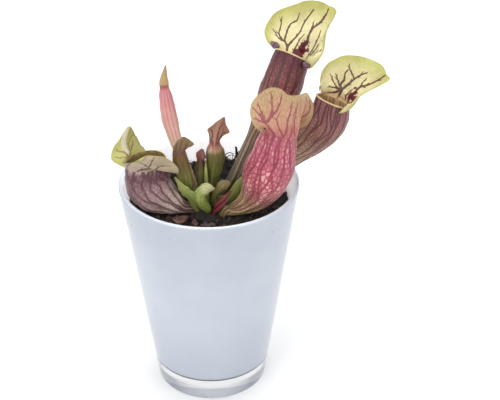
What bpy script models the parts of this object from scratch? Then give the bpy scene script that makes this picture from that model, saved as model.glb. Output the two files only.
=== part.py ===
"""A pitcher plant growing in a tapered glass pot, as separate closed solids.

The origin is the centre of the pot's underside, +Z is up and -Y is the front. Lengths are in
millimetres until mesh_object turns them into metres.
"""

from math import cos, pi, radians, sin

import bmesh
import bpy
import numpy as np

MM = 0.001
GAP = 0.3  # between pieces that touch

# Pot: a tapered glass with a thick base
POT_HEIGHT = 154.0
POT_TOP_RADIUS = 60.0
POT_FOOT_RADIUS = 37.2
POT_WALL = 3.2
POT_BASE = 15.0
POT_FOOT_ROUND = 3.0
POT_FLOOR_ROUND = 5.0
POT_TAPER = 8.0  # degrees that the walls lean out
POT_SIDES = 56

# Potting mix and the crown that the leaves grow from
SOIL_TOP = 141.0
SOIL_SHOULDER = 7.0
CROWN_CENTRE = (0.0, -14.5)
CROWN_RADIUS = 13.0
CROWN_TOP = 144.5
CROWN_DEPTH = 6.0
CROWN_SIDES = 28
DISH_RADIUS = 27.0
DISH_EDGE = 7.0
DISH_DEPTH = 3.1
SOIL_CROWN = 0.8  # how far its middle stands over its shoulder

# Pitchers
WALL = 1.0
SPROUT = 2.5  # straight growth off the crown before a leaf bends
LOOK = 0.004  # share of a leaf's length over which its direction is taken
BIG_COLUMNS = 24
SMALL_COLUMNS = 12
BIG_RINGS = 13
SMALL_RINGS = 9
RING_BIAS = 0.85  # under 1, rings crowd towards the mouth
HOOD_ROWS = 5


def clear_scene():
    """Remove whatever the scene holds."""
    for obj in list(bpy.data.objects):
        bpy.data.objects.remove(obj, do_unlink=True)


def make_material(name, colour, roughness=0.5, transmission=0.0):
    """A Principled material with one colour."""
    material = bpy.data.materials.new(name)
    material.use_nodes = True
    shader = material.node_tree.nodes["Principled BSDF"]
    shader.inputs["Base Color"].default_value = (*colour, 1.0)
    shader.inputs["Roughness"].default_value = roughness
    shader.inputs["Metallic"].default_value = 0.0
    shader.inputs["Transmission Weight"].default_value = transmission
    return material


def mesh_object(name, points, faces, material):
    """A smooth-shaded object from points in millimetres, its faces turned outward."""
    mesh = bpy.data.meshes.new(name)
    mesh.from_pydata([tuple(MM * c for c in p) for p in points], [], faces)
    body = bmesh.new()
    body.from_mesh(mesh)
    bmesh.ops.recalc_face_normals(body, faces=body.faces)
    bmesh.ops.triangulate(body, faces=body.faces)
    body.to_mesh(mesh)
    body.free()
    mesh.shade_smooth()
    mesh.materials.append(material)
    obj = bpy.data.objects.new(name, mesh)
    bpy.context.scene.collection.objects.link(obj)
    return obj


def curve_through(knots, values, at):
    """Smooth values at the places `at`, by cubic pieces through the knots."""
    knots = np.asarray(knots, float)
    values = np.asarray(values, float).reshape(len(knots), -1)
    slopes = np.empty_like(values)
    steps = np.diff(knots)[:, None]
    rises = np.diff(values, axis=0) / steps
    slopes[0] = rises[0]
    slopes[-1] = rises[-1]
    slopes[1:-1] = (rises[:-1] * steps[1:] + rises[1:] * steps[:-1]) / (steps[1:] + steps[:-1])
    at = np.clip(np.atleast_1d(np.asarray(at, float)), knots[0], knots[-1])
    k = np.clip(np.searchsorted(knots, at, side="right") - 1, 0, len(knots) - 2)
    h = (knots[k + 1] - knots[k])[:, None]
    t = (at - knots[k])[:, None] / h
    return (
        (2 * t**3 - 3 * t**2 + 1) * values[k]
        + (t**3 - 2 * t**2 + t) * h * slopes[k]
        + (3 * t**2 - 2 * t**3) * values[k + 1]
        + (t**3 - t**2) * h * slopes[k + 1]
    )


def spread(points):
    """Knots for a line of points, spaced by the distance between them, from 0 to 1."""
    points = np.asarray(points, float)
    lengths = np.r_[0.0, np.cumsum(np.linalg.norm(np.diff(points, axis=0), axis=1))]
    return lengths / lengths[-1]


def unit(vectors):
    """Vectors scaled to length one."""
    return vectors / np.linalg.norm(vectors, axis=-1, keepdims=True)


def crown_height(x, y):
    """Height of the crown's dome above a place."""
    share = np.hypot(x - CROWN_CENTRE[0], y - CROWN_CENTRE[1]) / CROWN_RADIUS
    return CROWN_TOP - CROWN_DEPTH * min(share, 1.0) ** 2


def crown_seat(degrees, distance):
    """Where a leaf leaves the crown, and the dome's direction there, standing GAP clear of it."""
    x = CROWN_CENTRE[0] + distance * cos(radians(degrees))
    y = CROWN_CENTRE[1] + distance * sin(radians(degrees))
    slope = 2 * CROWN_DEPTH * distance / CROWN_RADIUS**2
    out = unit(np.array([slope * cos(radians(degrees)), slope * sin(radians(degrees)), 1.0]))
    return np.array([x, y, crown_height(x, y)]) + GAP * out, out


def leaf_line(seat, points, at):
    """Points and directions along a leaf, from its seat on the crown to its last point."""
    start, out = crown_seat(*seat)
    line = np.vstack([start, start + SPROUT * out, points])
    knots = spread(line)
    centre = curve_through(knots, line, at)
    ahead = curve_through(knots, line, np.asarray(at) + LOOK)
    behind = curve_through(knots, line, np.asarray(at) - LOOK)
    along = unit(ahead - behind)
    along[0] = out
    return centre, along


def frames(along, back):
    """For each direction along a leaf, the way to its back and the way across it."""
    back = np.asarray(back, float)
    to_back = unit(back - (along @ back)[:, None] * along)
    return to_back, np.cross(along, to_back)


def ring_faces(lower, upper, closed=True):
    """Faces between two rows of vertex numbers."""
    count = len(lower)
    last = count if closed else count - 1
    return [(lower[j], lower[(j + 1) % count], upper[(j + 1) % count], upper[j]) for j in range(last)]


def pitcher(name, material, seat, points, back, radii, hood, columns, rings, wall=WALL):
    """One pitcher leaf: a tube on its petiole, hollow under its mouth, with its hood.

    `radii` pairs a share of the length with the tube's radius there. `hood` is a dict: `spread`
    is the angle to each side of the back that it grows from, `neck` how far it rises before it
    spreads, `flare` how far it leans out there, `margin` its edge from one side to the other,
    `depth` where the cavity ends as a share of the length, `slope` how much the mouth drops
    towards its front.
    """
    at = np.linspace(0.0, 1.0, rings) ** RING_BIAS
    centre, along = leaf_line(seat, points, at)
    to_back, across = frames(along, back)
    radius = curve_through(*zip(*radii), at)[:, 0]
    angle = np.linspace(-pi, pi, columns, endpoint=False)
    shape = np.cos(angle)[None, :, None] * to_back[:, None] + np.sin(angle)[None, :, None] * across[:, None]
    drop = hood["slope"] * np.clip((at - 0.8) / 0.2, 0, 1)[:, None] * np.cos(angle)[None, :]
    slant = drop[:, :, None] * along[:, None]
    outer = centre[:, None] + radius[:, None, None] * shape + slant
    first = int(np.searchsorted(at, hood["depth"]))
    inside = centre[first:, None] + (radius[first:, None, None] - wall) * shape[first:] + slant[first:]

    half = int(round(radians(hood["spread"]) / (2 * pi / columns)))
    middle = columns // 2
    chosen = np.arange(middle - half, middle + half + 1)
    share = np.linspace(-1, 1, len(chosen))
    margin = np.asarray(hood["margin"], float)
    edge = curve_through(spread(margin) * 2 - 1, margin, share)
    root = outer[-1, chosen]
    lean = hood["flare"] * shape[-1, chosen]
    knee = root + hood["neck"] * along[-1] + lean
    rows = np.linspace(0, 1, HOOD_ROWS + 1)[:, None, None]
    outside = (1 - rows) ** 2 * root + 2 * rows * (1 - rows) * knee + rows**2 * edge
    tangent_a = np.gradient(outside, axis=1)
    tangent_t = np.gradient(outside, axis=0)
    normal = unit(np.cross(tangent_a, tangent_t))
    inner_hood = outside - wall * normal

    points_out = []
    faces = []

    def add(block):
        start = len(points_out)
        points_out.extend(map(tuple, block))
        return list(range(start, start + len(block)))

    outer_rows = [add(row) for row in outer]
    inner_rows = [add(row) for row in inside]
    hood_out = [[outer_rows[-1][c] for c in chosen]] + [add(row) for row in outside[1:]]
    hood_in = [[inner_rows[-1][c] for c in chosen]] + [add(row) for row in inner_hood[1:]]
    for lower, upper in zip(outer_rows, outer_rows[1:]):
        faces += ring_faces(lower, upper)
    for lower, upper in zip(inner_rows, inner_rows[1:]):
        faces += ring_faces(upper, lower)
    for lower, upper in zip(hood_out, hood_out[1:]):
        faces += ring_faces(lower, upper, closed=False)
    for lower, upper in zip(hood_in, hood_in[1:]):
        faces += ring_faces(upper, lower, closed=False)
    foot = add([centre[0]])[0]
    faces += [(foot, b, a) for a, b in zip(outer_rows[0], outer_rows[0][1:] + outer_rows[0][:1])]
    floor = add([centre[first] - 0.4 * radius[first] * along[first]])[0]
    faces += [(floor, a, b) for a, b in zip(inner_rows[0], inner_rows[0][1:] + inner_rows[0][:1])]

    def rim(mouth, rows_up):
        around = [mouth[(chosen[-1] + k) % columns] for k in range(1, columns - len(chosen) + 1)]
        left = [row[0] for row in rows_up]
        right = [row[-1] for row in rows_up[-2:0:-1]]
        return left + rows_up[-1][1:-1] + [rows_up[-1][-1]] + right + [rows_up[0][-1]] + around

    faces += ring_faces(rim(inner_rows[-1], hood_in), rim(outer_rows[-1], hood_out))
    return mesh_object(name, points_out, faces, material)


def solid_leaf(name, material, seat, points, back, widths, columns=SMALL_COLUMNS, rings=SMALL_RINGS):
    """A leaf with no mouth: `widths` gives its half width and half thickness along the length."""
    at = np.linspace(0.0, 1.0, rings)
    centre, along = leaf_line(seat, points, at)
    to_back, across = frames(along, back)
    knots, half_width, half_depth = zip(*widths)
    wide = curve_through(knots, half_width, at)
    deep = curve_through(knots, half_depth, at)
    angle = np.linspace(0, 2 * pi, columns, endpoint=False)
    body = centre[:, None] + wide[:, None] * np.sin(angle)[None, :, None] * across[:, None]
    body = body + deep[:, None] * np.cos(angle)[None, :, None] * to_back[:, None]
    count = rings * columns
    grid = np.arange(count).reshape(rings, columns).tolist()
    faces = [face for lower, upper in zip(grid, grid[1:]) for face in ring_faces(lower, upper)]
    tip = centre[-1] + 0.6 * deep[-1] * along[-1]
    faces += [(count, b, a) for a, b in zip(grid[0], grid[0][1:] + grid[0][:1])]
    faces += [(count + 1, a, b) for a, b in zip(grid[-1], grid[-1][1:] + grid[-1][:1])]
    all_points = list(map(tuple, body.reshape(-1, 3))) + [tuple(centre[0]), tuple(tip)]
    return mesh_object(name, all_points, faces, material)


def turned(name, profile, sides, material, centre=(0.0, 0.0)):
    """A solid of revolution. The profile starts and ends on the axis."""
    inner = profile[1:-1]
    angle = np.linspace(0, 2 * pi, sides, endpoint=False)
    points = [(centre[0], centre[1], profile[0][1])]
    for radius, height in inner:
        points += [(centre[0] + radius * cos(a), centre[1] + radius * sin(a), height) for a in angle]
    points.append((centre[0], centre[1], profile[-1][1]))
    rows = (1 + np.arange(len(inner) * sides).reshape(len(inner), sides)).tolist()
    faces = [face for lower, upper in zip(rows, rows[1:]) for face in ring_faces(lower, upper)]
    faces += [(0, b, a) for a, b in zip(rows[0], rows[0][1:] + rows[0][:1])]
    last = len(points) - 1
    faces += [(last, a, b) for a, b in zip(rows[-1], rows[-1][1:] + rows[-1][:1])]
    return mesh_object(name, points, faces, material)


def outer_radius(height):
    """Radius of the pot's outside at a height."""
    return POT_FOOT_RADIUS + (POT_TOP_RADIUS - POT_FOOT_RADIUS) * height / POT_HEIGHT


def round_corner(centre, radius, start, end, count=4):
    """Points on an arc of a profile, angles in degrees."""
    turns = [radians(start + (end - start) * k / count) for k in range(count + 1)]
    return [(centre[0] + radius * cos(t), centre[1] + radius * sin(t)) for t in turns]


def build_pot(material):
    """The glass: flat foot, tapered wall, rounded lip and a thick clear base."""
    foot = POT_FOOT_ROUND
    corner = POT_FLOOR_ROUND
    lip = POT_WALL / 2
    inside_foot = outer_radius(POT_BASE) - POT_WALL
    profile = [(0.0, 0.0)]
    profile += round_corner((outer_radius(foot) - foot, foot), foot, -90, -POT_TAPER)
    profile += round_corner((POT_TOP_RADIUS - lip, POT_HEIGHT - lip), lip, -POT_TAPER, 180 + POT_TAPER)
    profile += round_corner((inside_foot - corner, POT_BASE + corner), corner, -POT_TAPER, -90)
    profile.append((0.0, POT_BASE))
    turned("glass_pot", profile, POT_SIDES, material)


def build_soil(material):
    """The potting mix: it fills the glass, rounds off at the wall and dips under the crown."""
    corner = POT_FLOOR_ROUND + GAP
    inside = outer_radius(POT_BASE) - POT_WALL
    top = outer_radius(SOIL_TOP - SOIL_SHOULDER) - POT_WALL - 1.5 * GAP
    profile = [(0.0, POT_BASE + GAP)]
    profile += round_corner((inside - corner, POT_BASE + corner), corner - GAP, -90, -POT_TAPER)
    profile += round_corner((top - SOIL_SHOULDER, SOIL_TOP - SOIL_SHOULDER), SOIL_SHOULDER, 0, 75, 5)
    profile += [(top * 0.62, SOIL_TOP + 0.75 * SOIL_CROWN), (0.0, SOIL_TOP + SOIL_CROWN)]
    soil = turned("potting_mix", profile, POT_SIDES, material)
    floor = SOIL_TOP + SOIL_CROWN - DISH_DEPTH
    above = SOIL_TOP + SOIL_CROWN + 0.6
    dish = [(0.0, floor), (DISH_RADIUS - DISH_EDGE, floor + 0.2), (DISH_RADIUS, above), (0.0, above + 0.1)]
    for name, outline in (("crown_pocket", crown_profile(GAP)), ("crown_dish", dish)):
        cutter = turned(name, outline, CROWN_SIDES, material, CROWN_CENTRE)
        cutter.hide_render = True
        cutter.display_type = "WIRE"
        cut = soil.modifiers.new(name, "BOOLEAN")
        cut.operation = "DIFFERENCE"
        cut.object = cutter


def crown_profile(offset):
    """The crown's half outline, a low dome over a rounded underside, grown by `offset`."""
    count = 6
    under = CROWN_TOP - CROWN_DEPTH - 5.0 - offset
    side = CROWN_TOP - CROWN_DEPTH + offset
    shoulder = side - 1.5 - 2 * offset
    profile = [(0.0, under), (CROWN_RADIUS * 0.6 + offset, under), (CROWN_RADIUS + offset, shoulder)]
    for k in range(count + 1):
        share = 1 - k / count
        profile.append(((CROWN_RADIUS + offset) * share, side + CROWN_DEPTH * (1 - share**2)))
    return profile


def chip(name, material, centre, size, turn, tilt=0.0, points=7):
    """A flat broken piece with an uneven outline, lying on the potting mix."""
    rng = np.random.default_rng(len(name))
    angle = np.linspace(0, 2 * pi, points, endpoint=False) + rng.uniform(-0.2, 0.2, points)
    reach = rng.uniform(0.8, 1.1, points)
    flat = np.c_[size[0] * reach * np.cos(angle), size[1] * reach * np.sin(angle)] / 2
    c, s = cos(radians(turn)), sin(radians(turn))
    flat = flat @ np.array([[c, s], [-s, c]])
    rise = flat[:, 1] * np.tan(radians(tilt))
    low = np.c_[flat, rise - size[2] / 2] + centre
    high = np.c_[flat * 0.85, rise * 0.85 + size[2] / 2] + centre
    rows = [list(range(points)), list(range(points, 2 * points))]
    faces = ring_faces(*rows) + [tuple(reversed(rows[0])), tuple(rows[1])]
    return mesh_object(name, np.vstack([low, high]).tolist(), faces, material)


def build_big_pitchers(paint):
    """The four open pitchers, each a leaf of its own."""
    pitcher(
        "tall_pitcher", paint["wine"], (50, 9.5),
        [(12, -7.2, 152), (17.1, -6.8, 161), (26, 3, 175), (31.5, 10, 183), (39, 17.5, 193.5),
         (46.3, 25, 203.8), (52.2, 31.5, 217), (56.3, 36.5, 226)],
        (0.73, 0.68, 0.0),
        [(0, 3.0), (0.2, 3.7), (0.38, 4.3), (0.49, 5.0), (0.62, 8.8), (0.72, 12.2), (0.82, 13.3), (0.93, 12.7),
         (1, 12.2)],
        dict(
            spread=90, neck=9, flare=3, depth=0.55, slope=-1.0,
            margin=[
                (63.5, 26, 224), (68, 27, 222), (75, 32, 228), (78, 39, 236), (81, 46, 246), (85, 48, 254),
                (78, 55, 256), (69, 63, 254), (60, 69, 249), (50, 73, 243), (42, 74, 235), (40, 68, 227),
                (44, 58, 223), (50, 49, 225),
            ],
        ),
        BIG_COLUMNS, BIG_RINGS,
    )
    pitcher(
        "right_pitcher", paint["wine"], (5, 10.5),
        [(15, -10.5, 144.5), (26, -6, 150.5), (41, -2, 162), (55.5, 2, 173), (68, 5, 182), (78, 7.5, 193),
         (81.7, 9, 207)],
        (0.75, 0.65, 0.0),
        [(0, 3.0), (0.2, 3.4), (0.4, 6.0), (0.65, 10.2), (0.82, 12.8), (0.93, 12.4), (1, 11.6)],
        dict(
            spread=90, neck=8, flare=3, depth=0.55, slope=-2.0,
            margin=[
                (84, -4, 205), (92, -3, 207.5), (97, -5, 215.5), (104, -5, 221), (112, -1, 223), (118, 6, 225),
                (113, 13, 230), (103, 20, 233), (90, 26, 232), (79, 26, 226), (74, 22, 216), (74, 19, 210),
            ],
        ),
        BIG_COLUMNS, BIG_RINGS,
    )
    pitcher(
        "front_pitcher", paint["rose"], (-33, 10.5),
        [(15, -21.5, 144.5), (23, -23.5, 149.3), (29.5, -25, 156.5), (35.5, -27, 169), (40, -28, 181),
         (43, -27.5, 193), (45.2, -26, 204.4)],
        (0.95, -0.3, 0.0),
        [(0, 3.0), (0.13, 4.0), (0.24, 6.2), (0.35, 9.4), (0.52, 14.0), (0.66, 15.0), (0.82, 13.6), (1, 11.4)],
        dict(
            spread=105, neck=6, flare=2, depth=0.5, slope=-1.0,
            margin=[
                (34, -37, 210), (27, -36, 219), (27, -36, 229), (32, -36, 236), (39, -36, 240), (47, -35, 238),
                (55, -34, 234), (58, -30, 231), (62, -22, 229.5), (67, -16, 220), (65, -10, 211), (57, -11, 205.5),
                (50, -13, 204),
            ],
        ),
        BIG_COLUMNS, BIG_RINGS,
    )
    pitcher(
        "left_pitcher", paint["mauve"], (190, 10.5),
        [(-20, -18, 146), (-29, -17.5, 151), (-35.5, -16, 155.5), (-39.5, -14, 161), (-40.5, -11.5, 168),
         (-41, -9.5, 175)],
        (-0.97, -0.05, 0.0),
        [(0, 2.8), (0.18, 3.8), (0.34, 7.5), (0.5, 12.0), (0.66, 14.8), (0.84, 14.6), (1, 13.6)],
        dict(
            spread=105, neck=4, flare=2, depth=0.55, slope=-1.0,
            margin=[
                (-44, 5, 178), (-47, 7, 183), (-50, 8, 190), (-52, 8, 192.5), (-57, 6, 186), (-64, 0, 176),
                (-63, -4, 172), (-56, -11, 172), (-51, -17, 176), (-45, -24, 183), (-37, -29, 188.5),
                (-29, -29, 188.5), (-22, -26, 182), (-20, -22, 176), (-25, -21, 173.5),
            ],
        ),
        BIG_COLUMNS, BIG_RINGS,
    )


def build_small_leaves(paint):
    """The spear, the half-grown pitchers and the blades round the crown."""
    solid_leaf(
        "spear_pitcher", paint["pink"], (140, 7.5),
        [(-12.3, -7.5, 165), (-18.5, -4, 180), (-23.3, 1, 196), (-26.1, 5.5, 211.6), (-27.7, 9, 224.4),
         (-26.6, 12, 233.4)],
        (-1.0, 0.3, 0.0),
        [(0, 2.2, 2.0), (0.3, 2.6, 2.4), (0.5, 4.4, 4.4), (0.68, 5.4, 5.2), (0.82, 3.6, 3.2), (1, 0.9, 0.7)],
        rings=13,
    )
    pitcher(
        "olive_pitcher", paint["olive"], (196, 5.4),
        [(-11.3, -17, 153), (-15.5, -17, 165), (-18.3, -16, 175.5), (-19.6, -15, 184)],
        (0.6, 0.8, 0.0),
        [(0, 1.8), (0.3, 2.4), (0.55, 4.4), (0.85, 5.0), (1, 4.2)],
        dict(
            spread=90, neck=2, flare=0.4, depth=0.8, slope=0.0,
            margin=[
                (-16, -17, 186), (-13, -14, 187), (-10, -10, 187.5), (-15.6, -9, 192), (-19.5, -10, 189),
                (-22.5, -12, 185.5),
            ],
        ),
        SMALL_COLUMNS, SMALL_RINGS, wall=0.8,
    )
    pitcher(
        "middle_pitcher", paint["olive"], (95, 5.5),
        [(1.4, -9.8, 155), (3.6, -10, 168), (4.2, -10, 179), (3.7, -9, 187)],
        (0.9, 0.5, 0.0),
        [(0, 2.0), (0.3, 2.8), (0.6, 4.8), (0.85, 5.8), (1, 4.6)],
        dict(
            spread=90, neck=3, flare=-0.5, depth=0.8, slope=0.0,
            margin=[
                (5.5, -14, 189.5), (1, -13.5, 193), (2, -12.5, 198.5), (6, -11, 202), (10.5, -9, 206),
                (13, -6, 198), (10, -4, 192), (3, -4.5, 189.5),
            ],
        ),
        SMALL_COLUMNS, SMALL_RINGS, wall=0.8,
    )
    solid_leaf(
        "dark_pitcher", paint["wine"], (150, 3.2),
        [(-5.4, -13.8, 156), (-5.8, -13.4, 170), (-5.2, -13, 179), (-3.8, -12, 184.5)],
        (0.8, 0.6, 0.0),
        [(0, 1.6, 1.6), (0.35, 2.2, 2.2), (0.65, 3.1, 3.0), (0.85, 3.0, 2.2), (1, 1.2, 0.8)],
    )
    solid_leaf(
        "green_blade", paint["green"], (200, 1.0),
        [(-1.6, -15.3, 157), (-1.9, -15.6, 170), (-2.0, -15.4, 178)],
        (0.2, 1.0, 0.0),
        [(0, 0.9, 0.8), (0.4, 1.2, 0.7), (0.8, 1.0, 0.55), (1, 0.4, 0.35)],
        columns=8,
    )
    solid_leaf(
        "squat_pitcher", paint["green"], (250, 5.5),
        [(-3.4, -22.5, 152.5), (-4.0, -24, 157.5), (-2.6, -24.5, 162), (0.6, -24, 163.5)],
        (0.8, 0.5, 0.0),
        [(0, 2.2, 1.9), (0.35, 4.4, 3.4), (0.65, 4.8, 3.6), (0.85, 3.6, 2.5), (1, 1.8, 1.1)],
        columns=14,
    )
    solid_leaf(
        "short_pitcher", paint["olive"], (335, 3.6),
        [(4.2, -16.0, 151), (6.4, -16.5, 156), (9.0, -17.0, 161.0)],
        (0.6, -0.8, 0.0),
        [(0, 1.6, 1.5), (0.4, 3.0, 2.6), (0.62, 2.6, 2.0), (0.85, 3.4, 1.5), (1, 1.2, 0.7)],
        columns=14,
    )
    solid_leaf(
        "pale_blade", paint["green"], (222, 9.3),
        [(-12.8, -24.5, 151), (-17.8, -25.5, 160), (-20.5, -25.5, 170)],
        (-0.5, -0.9, 0.0),
        [(0, 1.6, 1.2), (0.4, 3.6, 1.1), (0.75, 3.2, 0.9), (1, 0.8, 0.5)],
    )
    solid_leaf(
        "broad_blade", paint["green"], (25, 5.2),
        [(10.5, -13.2, 149), (17.0, -13.5, 158.5), (22.6, -13.5, 169)],
        (0.35, -0.9, 0.0),
        [(0, 1.5, 1.2), (0.4, 3.2, 1.3), (0.72, 3.2, 1.1), (1, 0.7, 0.5)],
    )
    solid_leaf(
        "red_shoot", paint["crimson"], (300, 7.0),
        [(5.6, -22.6, 149.5), (8.0, -24.0, 153), (10.6, -24.5, 156)],
        (0.3, -0.9, 0.0),
        [(0, 1.4, 1.3), (0.5, 2.4, 1.8), (0.85, 2.1, 1.5), (1, 0.9, 0.7)],
        columns=10,
    )


def build_litter(paint):
    """The loose bits that lie on the potting mix."""
    rest = SOIL_TOP + 0.6 + GAP
    chip("bark_chip", paint["bark"], (-19, -31, rest + 1.6), (11, 6.5, 2.0), 25, tilt=8)
    chip("leaf_scrap", paint["mauve"], (-1, -36.5, rest + 0.3), (8, 6.5, 0.9), 10, points=5)
    chip("bark_sliver", paint["bark"], (-9.5, -34.5, rest + 0.9), (8, 3.4, 1.2), 100, points=6)


def main():
    clear_scene()
    paint = {
        "glass": make_material("clear_glass", (0.93, 0.95, 0.98), 0.03, 0.9),
        "soil": make_material("potting_mix", (0.028, 0.02, 0.016), 0.95),
        "crown": make_material("crown_tissue", (0.12, 0.07, 0.045), 0.8),
        "wine": make_material("wine_leaf", (0.2, 0.04, 0.07), 0.45),
        "rose": make_material("rose_leaf", (0.52, 0.1, 0.14), 0.45),
        "mauve": make_material("mauve_leaf", (0.25, 0.1, 0.13), 0.5),
        "pink": make_material("pink_leaf", (0.62, 0.28, 0.26), 0.45),
        "olive": make_material("olive_leaf", (0.2, 0.21, 0.05), 0.5),
        "green": make_material("green_leaf", (0.3, 0.42, 0.08), 0.45),
        "crimson": make_material("crimson_shoot", (0.35, 0.03, 0.07), 0.45),
        "bark": make_material("bark", (0.22, 0.1, 0.06), 0.9),
    }
    build_pot(paint["glass"])
    build_soil(paint["soil"])
    turned("crown", crown_profile(0.0), CROWN_SIDES, paint["crown"], CROWN_CENTRE)
    build_big_pitchers(paint)
    build_small_leaves(paint)
    build_litter(paint)


if __name__ == "__main__":
    main()
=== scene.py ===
"""The looks of a potted pitcher plant: a lacquered glass, dark potting mix and a crown of leaves.

Places are millimetres in the part's own frame until a mesh is made: the origin is the centre of the
pot's underside, +Z is up and -Y is the front.
"""

from __future__ import annotations

import logging
from dataclasses import dataclass, field, replace
from enum import Enum

import bpy
import numpy as np
from mathutils import Matrix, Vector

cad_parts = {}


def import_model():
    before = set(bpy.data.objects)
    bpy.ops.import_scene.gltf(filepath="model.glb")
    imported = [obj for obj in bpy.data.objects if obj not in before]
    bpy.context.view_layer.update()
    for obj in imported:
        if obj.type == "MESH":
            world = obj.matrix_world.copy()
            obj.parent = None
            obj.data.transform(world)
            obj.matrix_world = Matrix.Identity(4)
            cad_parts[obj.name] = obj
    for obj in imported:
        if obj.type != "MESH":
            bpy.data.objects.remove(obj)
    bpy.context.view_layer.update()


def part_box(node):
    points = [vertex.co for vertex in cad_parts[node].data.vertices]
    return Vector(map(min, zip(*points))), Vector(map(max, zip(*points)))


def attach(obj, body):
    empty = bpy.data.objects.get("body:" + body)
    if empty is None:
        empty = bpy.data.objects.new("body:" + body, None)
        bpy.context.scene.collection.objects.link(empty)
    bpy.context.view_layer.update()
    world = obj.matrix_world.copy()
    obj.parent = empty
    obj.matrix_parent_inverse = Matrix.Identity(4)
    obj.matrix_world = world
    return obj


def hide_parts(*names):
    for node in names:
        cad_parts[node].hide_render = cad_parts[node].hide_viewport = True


LOG = logging.getLogger("pitcher_plant")
MM = 0.001
TINY = 1e-9
COLLAR_LOBE = 0.2  # how far up the hood's scale a leaf's collar takes its tints
LATTICE = 32  # the side of the lattice that noise repeats on
Point = tuple[float, float, float]
Colour = tuple[int, int, int]
Stops = tuple[tuple[float, Colour], ...]
BLACK: Colour = (0, 0, 0)
WHITE: Colour = (255, 255, 255)


class Value(Enum):
    """Surface values that a leaf's mesh carries for its finish."""

    # The vein value also carries painted shade: darker grooves between a tube's ribs and a blade's ridges.
    VEIN_AND_RIB_SHADE = "vein"
    INNER = "inner"
    LOBE = "lobe"
    HEIGHT = "height"
    EDGE = "edge"
    BLOTCH_AND_HIGHLIGHT = "blotch_and_highlight"


class Slot(Enum):
    """The record's material slots, one given for each piece."""

    GLASS = "pot_glass"
    MIX = "potting_mix"
    CROWN = "crown"
    TALL = "tall_leaf"
    RIGHT = "right_leaf"
    FRONT = "front_leaf"
    LEFT = "left_leaf"
    SPEAR = "spear_leaf"
    OLIVE = "olive_leaf"
    DARK = "dark_leaf"
    GREEN = "green_leaf"
    RED = "red_leaf"
    BARK = "bark"
    SCRAP = "dry_scrap"


# --------------------------------------------------------------------------- numbers


def unit(vectors: np.ndarray) -> np.ndarray:
    """Return vectors scaled to length one.

    Args:
        vectors: Any array whose last axis is x, y, z.

    Returns:
        An array of the same shape.
    """
    length = np.linalg.norm(vectors, axis=-1, keepdims=True)
    return vectors / np.maximum(length, TINY)


def stacked(*parts: np.ndarray) -> np.ndarray:
    """Return arrays spread to one shape and put side by side on a new last axis."""
    return np.stack(np.broadcast_arrays(*parts), axis=-1)


def turns(sides: int, start: float = 0.0) -> np.ndarray:
    """Return equal angles once round, from a start."""
    return np.linspace(start, start + 2 * np.pi, sides, endpoint=False)


def ease(low: float, high: float, x: np.ndarray) -> np.ndarray:
    """Return 0 below `low`, 1 above `high` and 3t^2 - 2t^3 between them."""
    t = np.clip((x - low) / (high - low), 0.0, 1.0)
    return t * t * (3.0 - 2.0 * t)


def shares(points: np.ndarray) -> np.ndarray:
    """Return each point's share, 0 to 1, of the length of the line through the points."""
    steps = np.linalg.norm(np.diff(points, axis=0), axis=1)
    run = np.concatenate([[0.0], np.cumsum(steps)])
    return run / run[-1]


def curve_through(knots: np.ndarray, values: np.ndarray, at: np.ndarray) -> np.ndarray:
    """Return smooth values: cubic Hermite pieces whose slopes are means of the neighbouring rises.

    Args:
        knots: Rising places, one for each value.
        values: One row of numbers for each knot.
        at: The places wanted; those outside the knots are held at the ends.

    Returns:
        One row for each place.
    """
    knots = np.asarray(knots, float)
    values = np.asarray(values, float).reshape(len(knots), -1)
    steps = np.diff(knots)[:, None]
    rises = np.diff(values, axis=0) / steps
    inner = (rises[:-1] * steps[1:] + rises[1:] * steps[:-1]) / (steps[1:] + steps[:-1])
    slopes = np.vstack([rises[:1], inner, rises[-1:]])
    at = np.clip(np.atleast_1d(np.asarray(at, float)), knots[0], knots[-1])
    k = np.clip(np.searchsorted(knots, at, side="right") - 1, 0, len(knots) - 2)
    h = (knots[k + 1] - knots[k])[:, None]
    t = (at - knots[k])[:, None] / h
    start = (2 * t**3 - 3 * t**2 + 1) * values[k] + (t**3 - 2 * t**2 + t) * h * slopes[k]
    end = (3 * t**2 - 2 * t**3) * values[k + 1] + (t**3 - t**2) * h * slopes[k + 1]
    return start + end


@dataclass(frozen=True)
class Cloud:
    """Smooth noise in space: random values on a repeating lattice, eased between its corners."""

    seed: int
    size: float
    octaves: int = 3

    def at(self, places: np.ndarray) -> np.ndarray:
        """Return noise between about -1 and 1: octaves of halving size and height, added.

        Args:
            places: Points, x, y, z on the last axis.

        Returns:
            One value for each point.
        """
        lattice = np.random.default_rng(self.seed).uniform(-1, 1, (LATTICE, LATTICE, LATTICE))
        total = np.zeros(places.shape[:-1])
        for octave in range(self.octaves):
            spot = places / self.size * 2**octave + 11.3 * octave
            low = np.floor(spot).astype(int)
            part = ease(0.0, 1.0, spot - low)
            for corner in np.ndindex(2, 2, 2):
                offset = np.array(corner)
                cell = (low + offset) % LATTICE
                weight = np.where(offset == 1, part, 1 - part).prod(axis=-1)
                total += weight * lattice[cell[..., 0], cell[..., 1], cell[..., 2]] / 2**octave
        return total


# --------------------------------------------------------------------------- meshes


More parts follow.
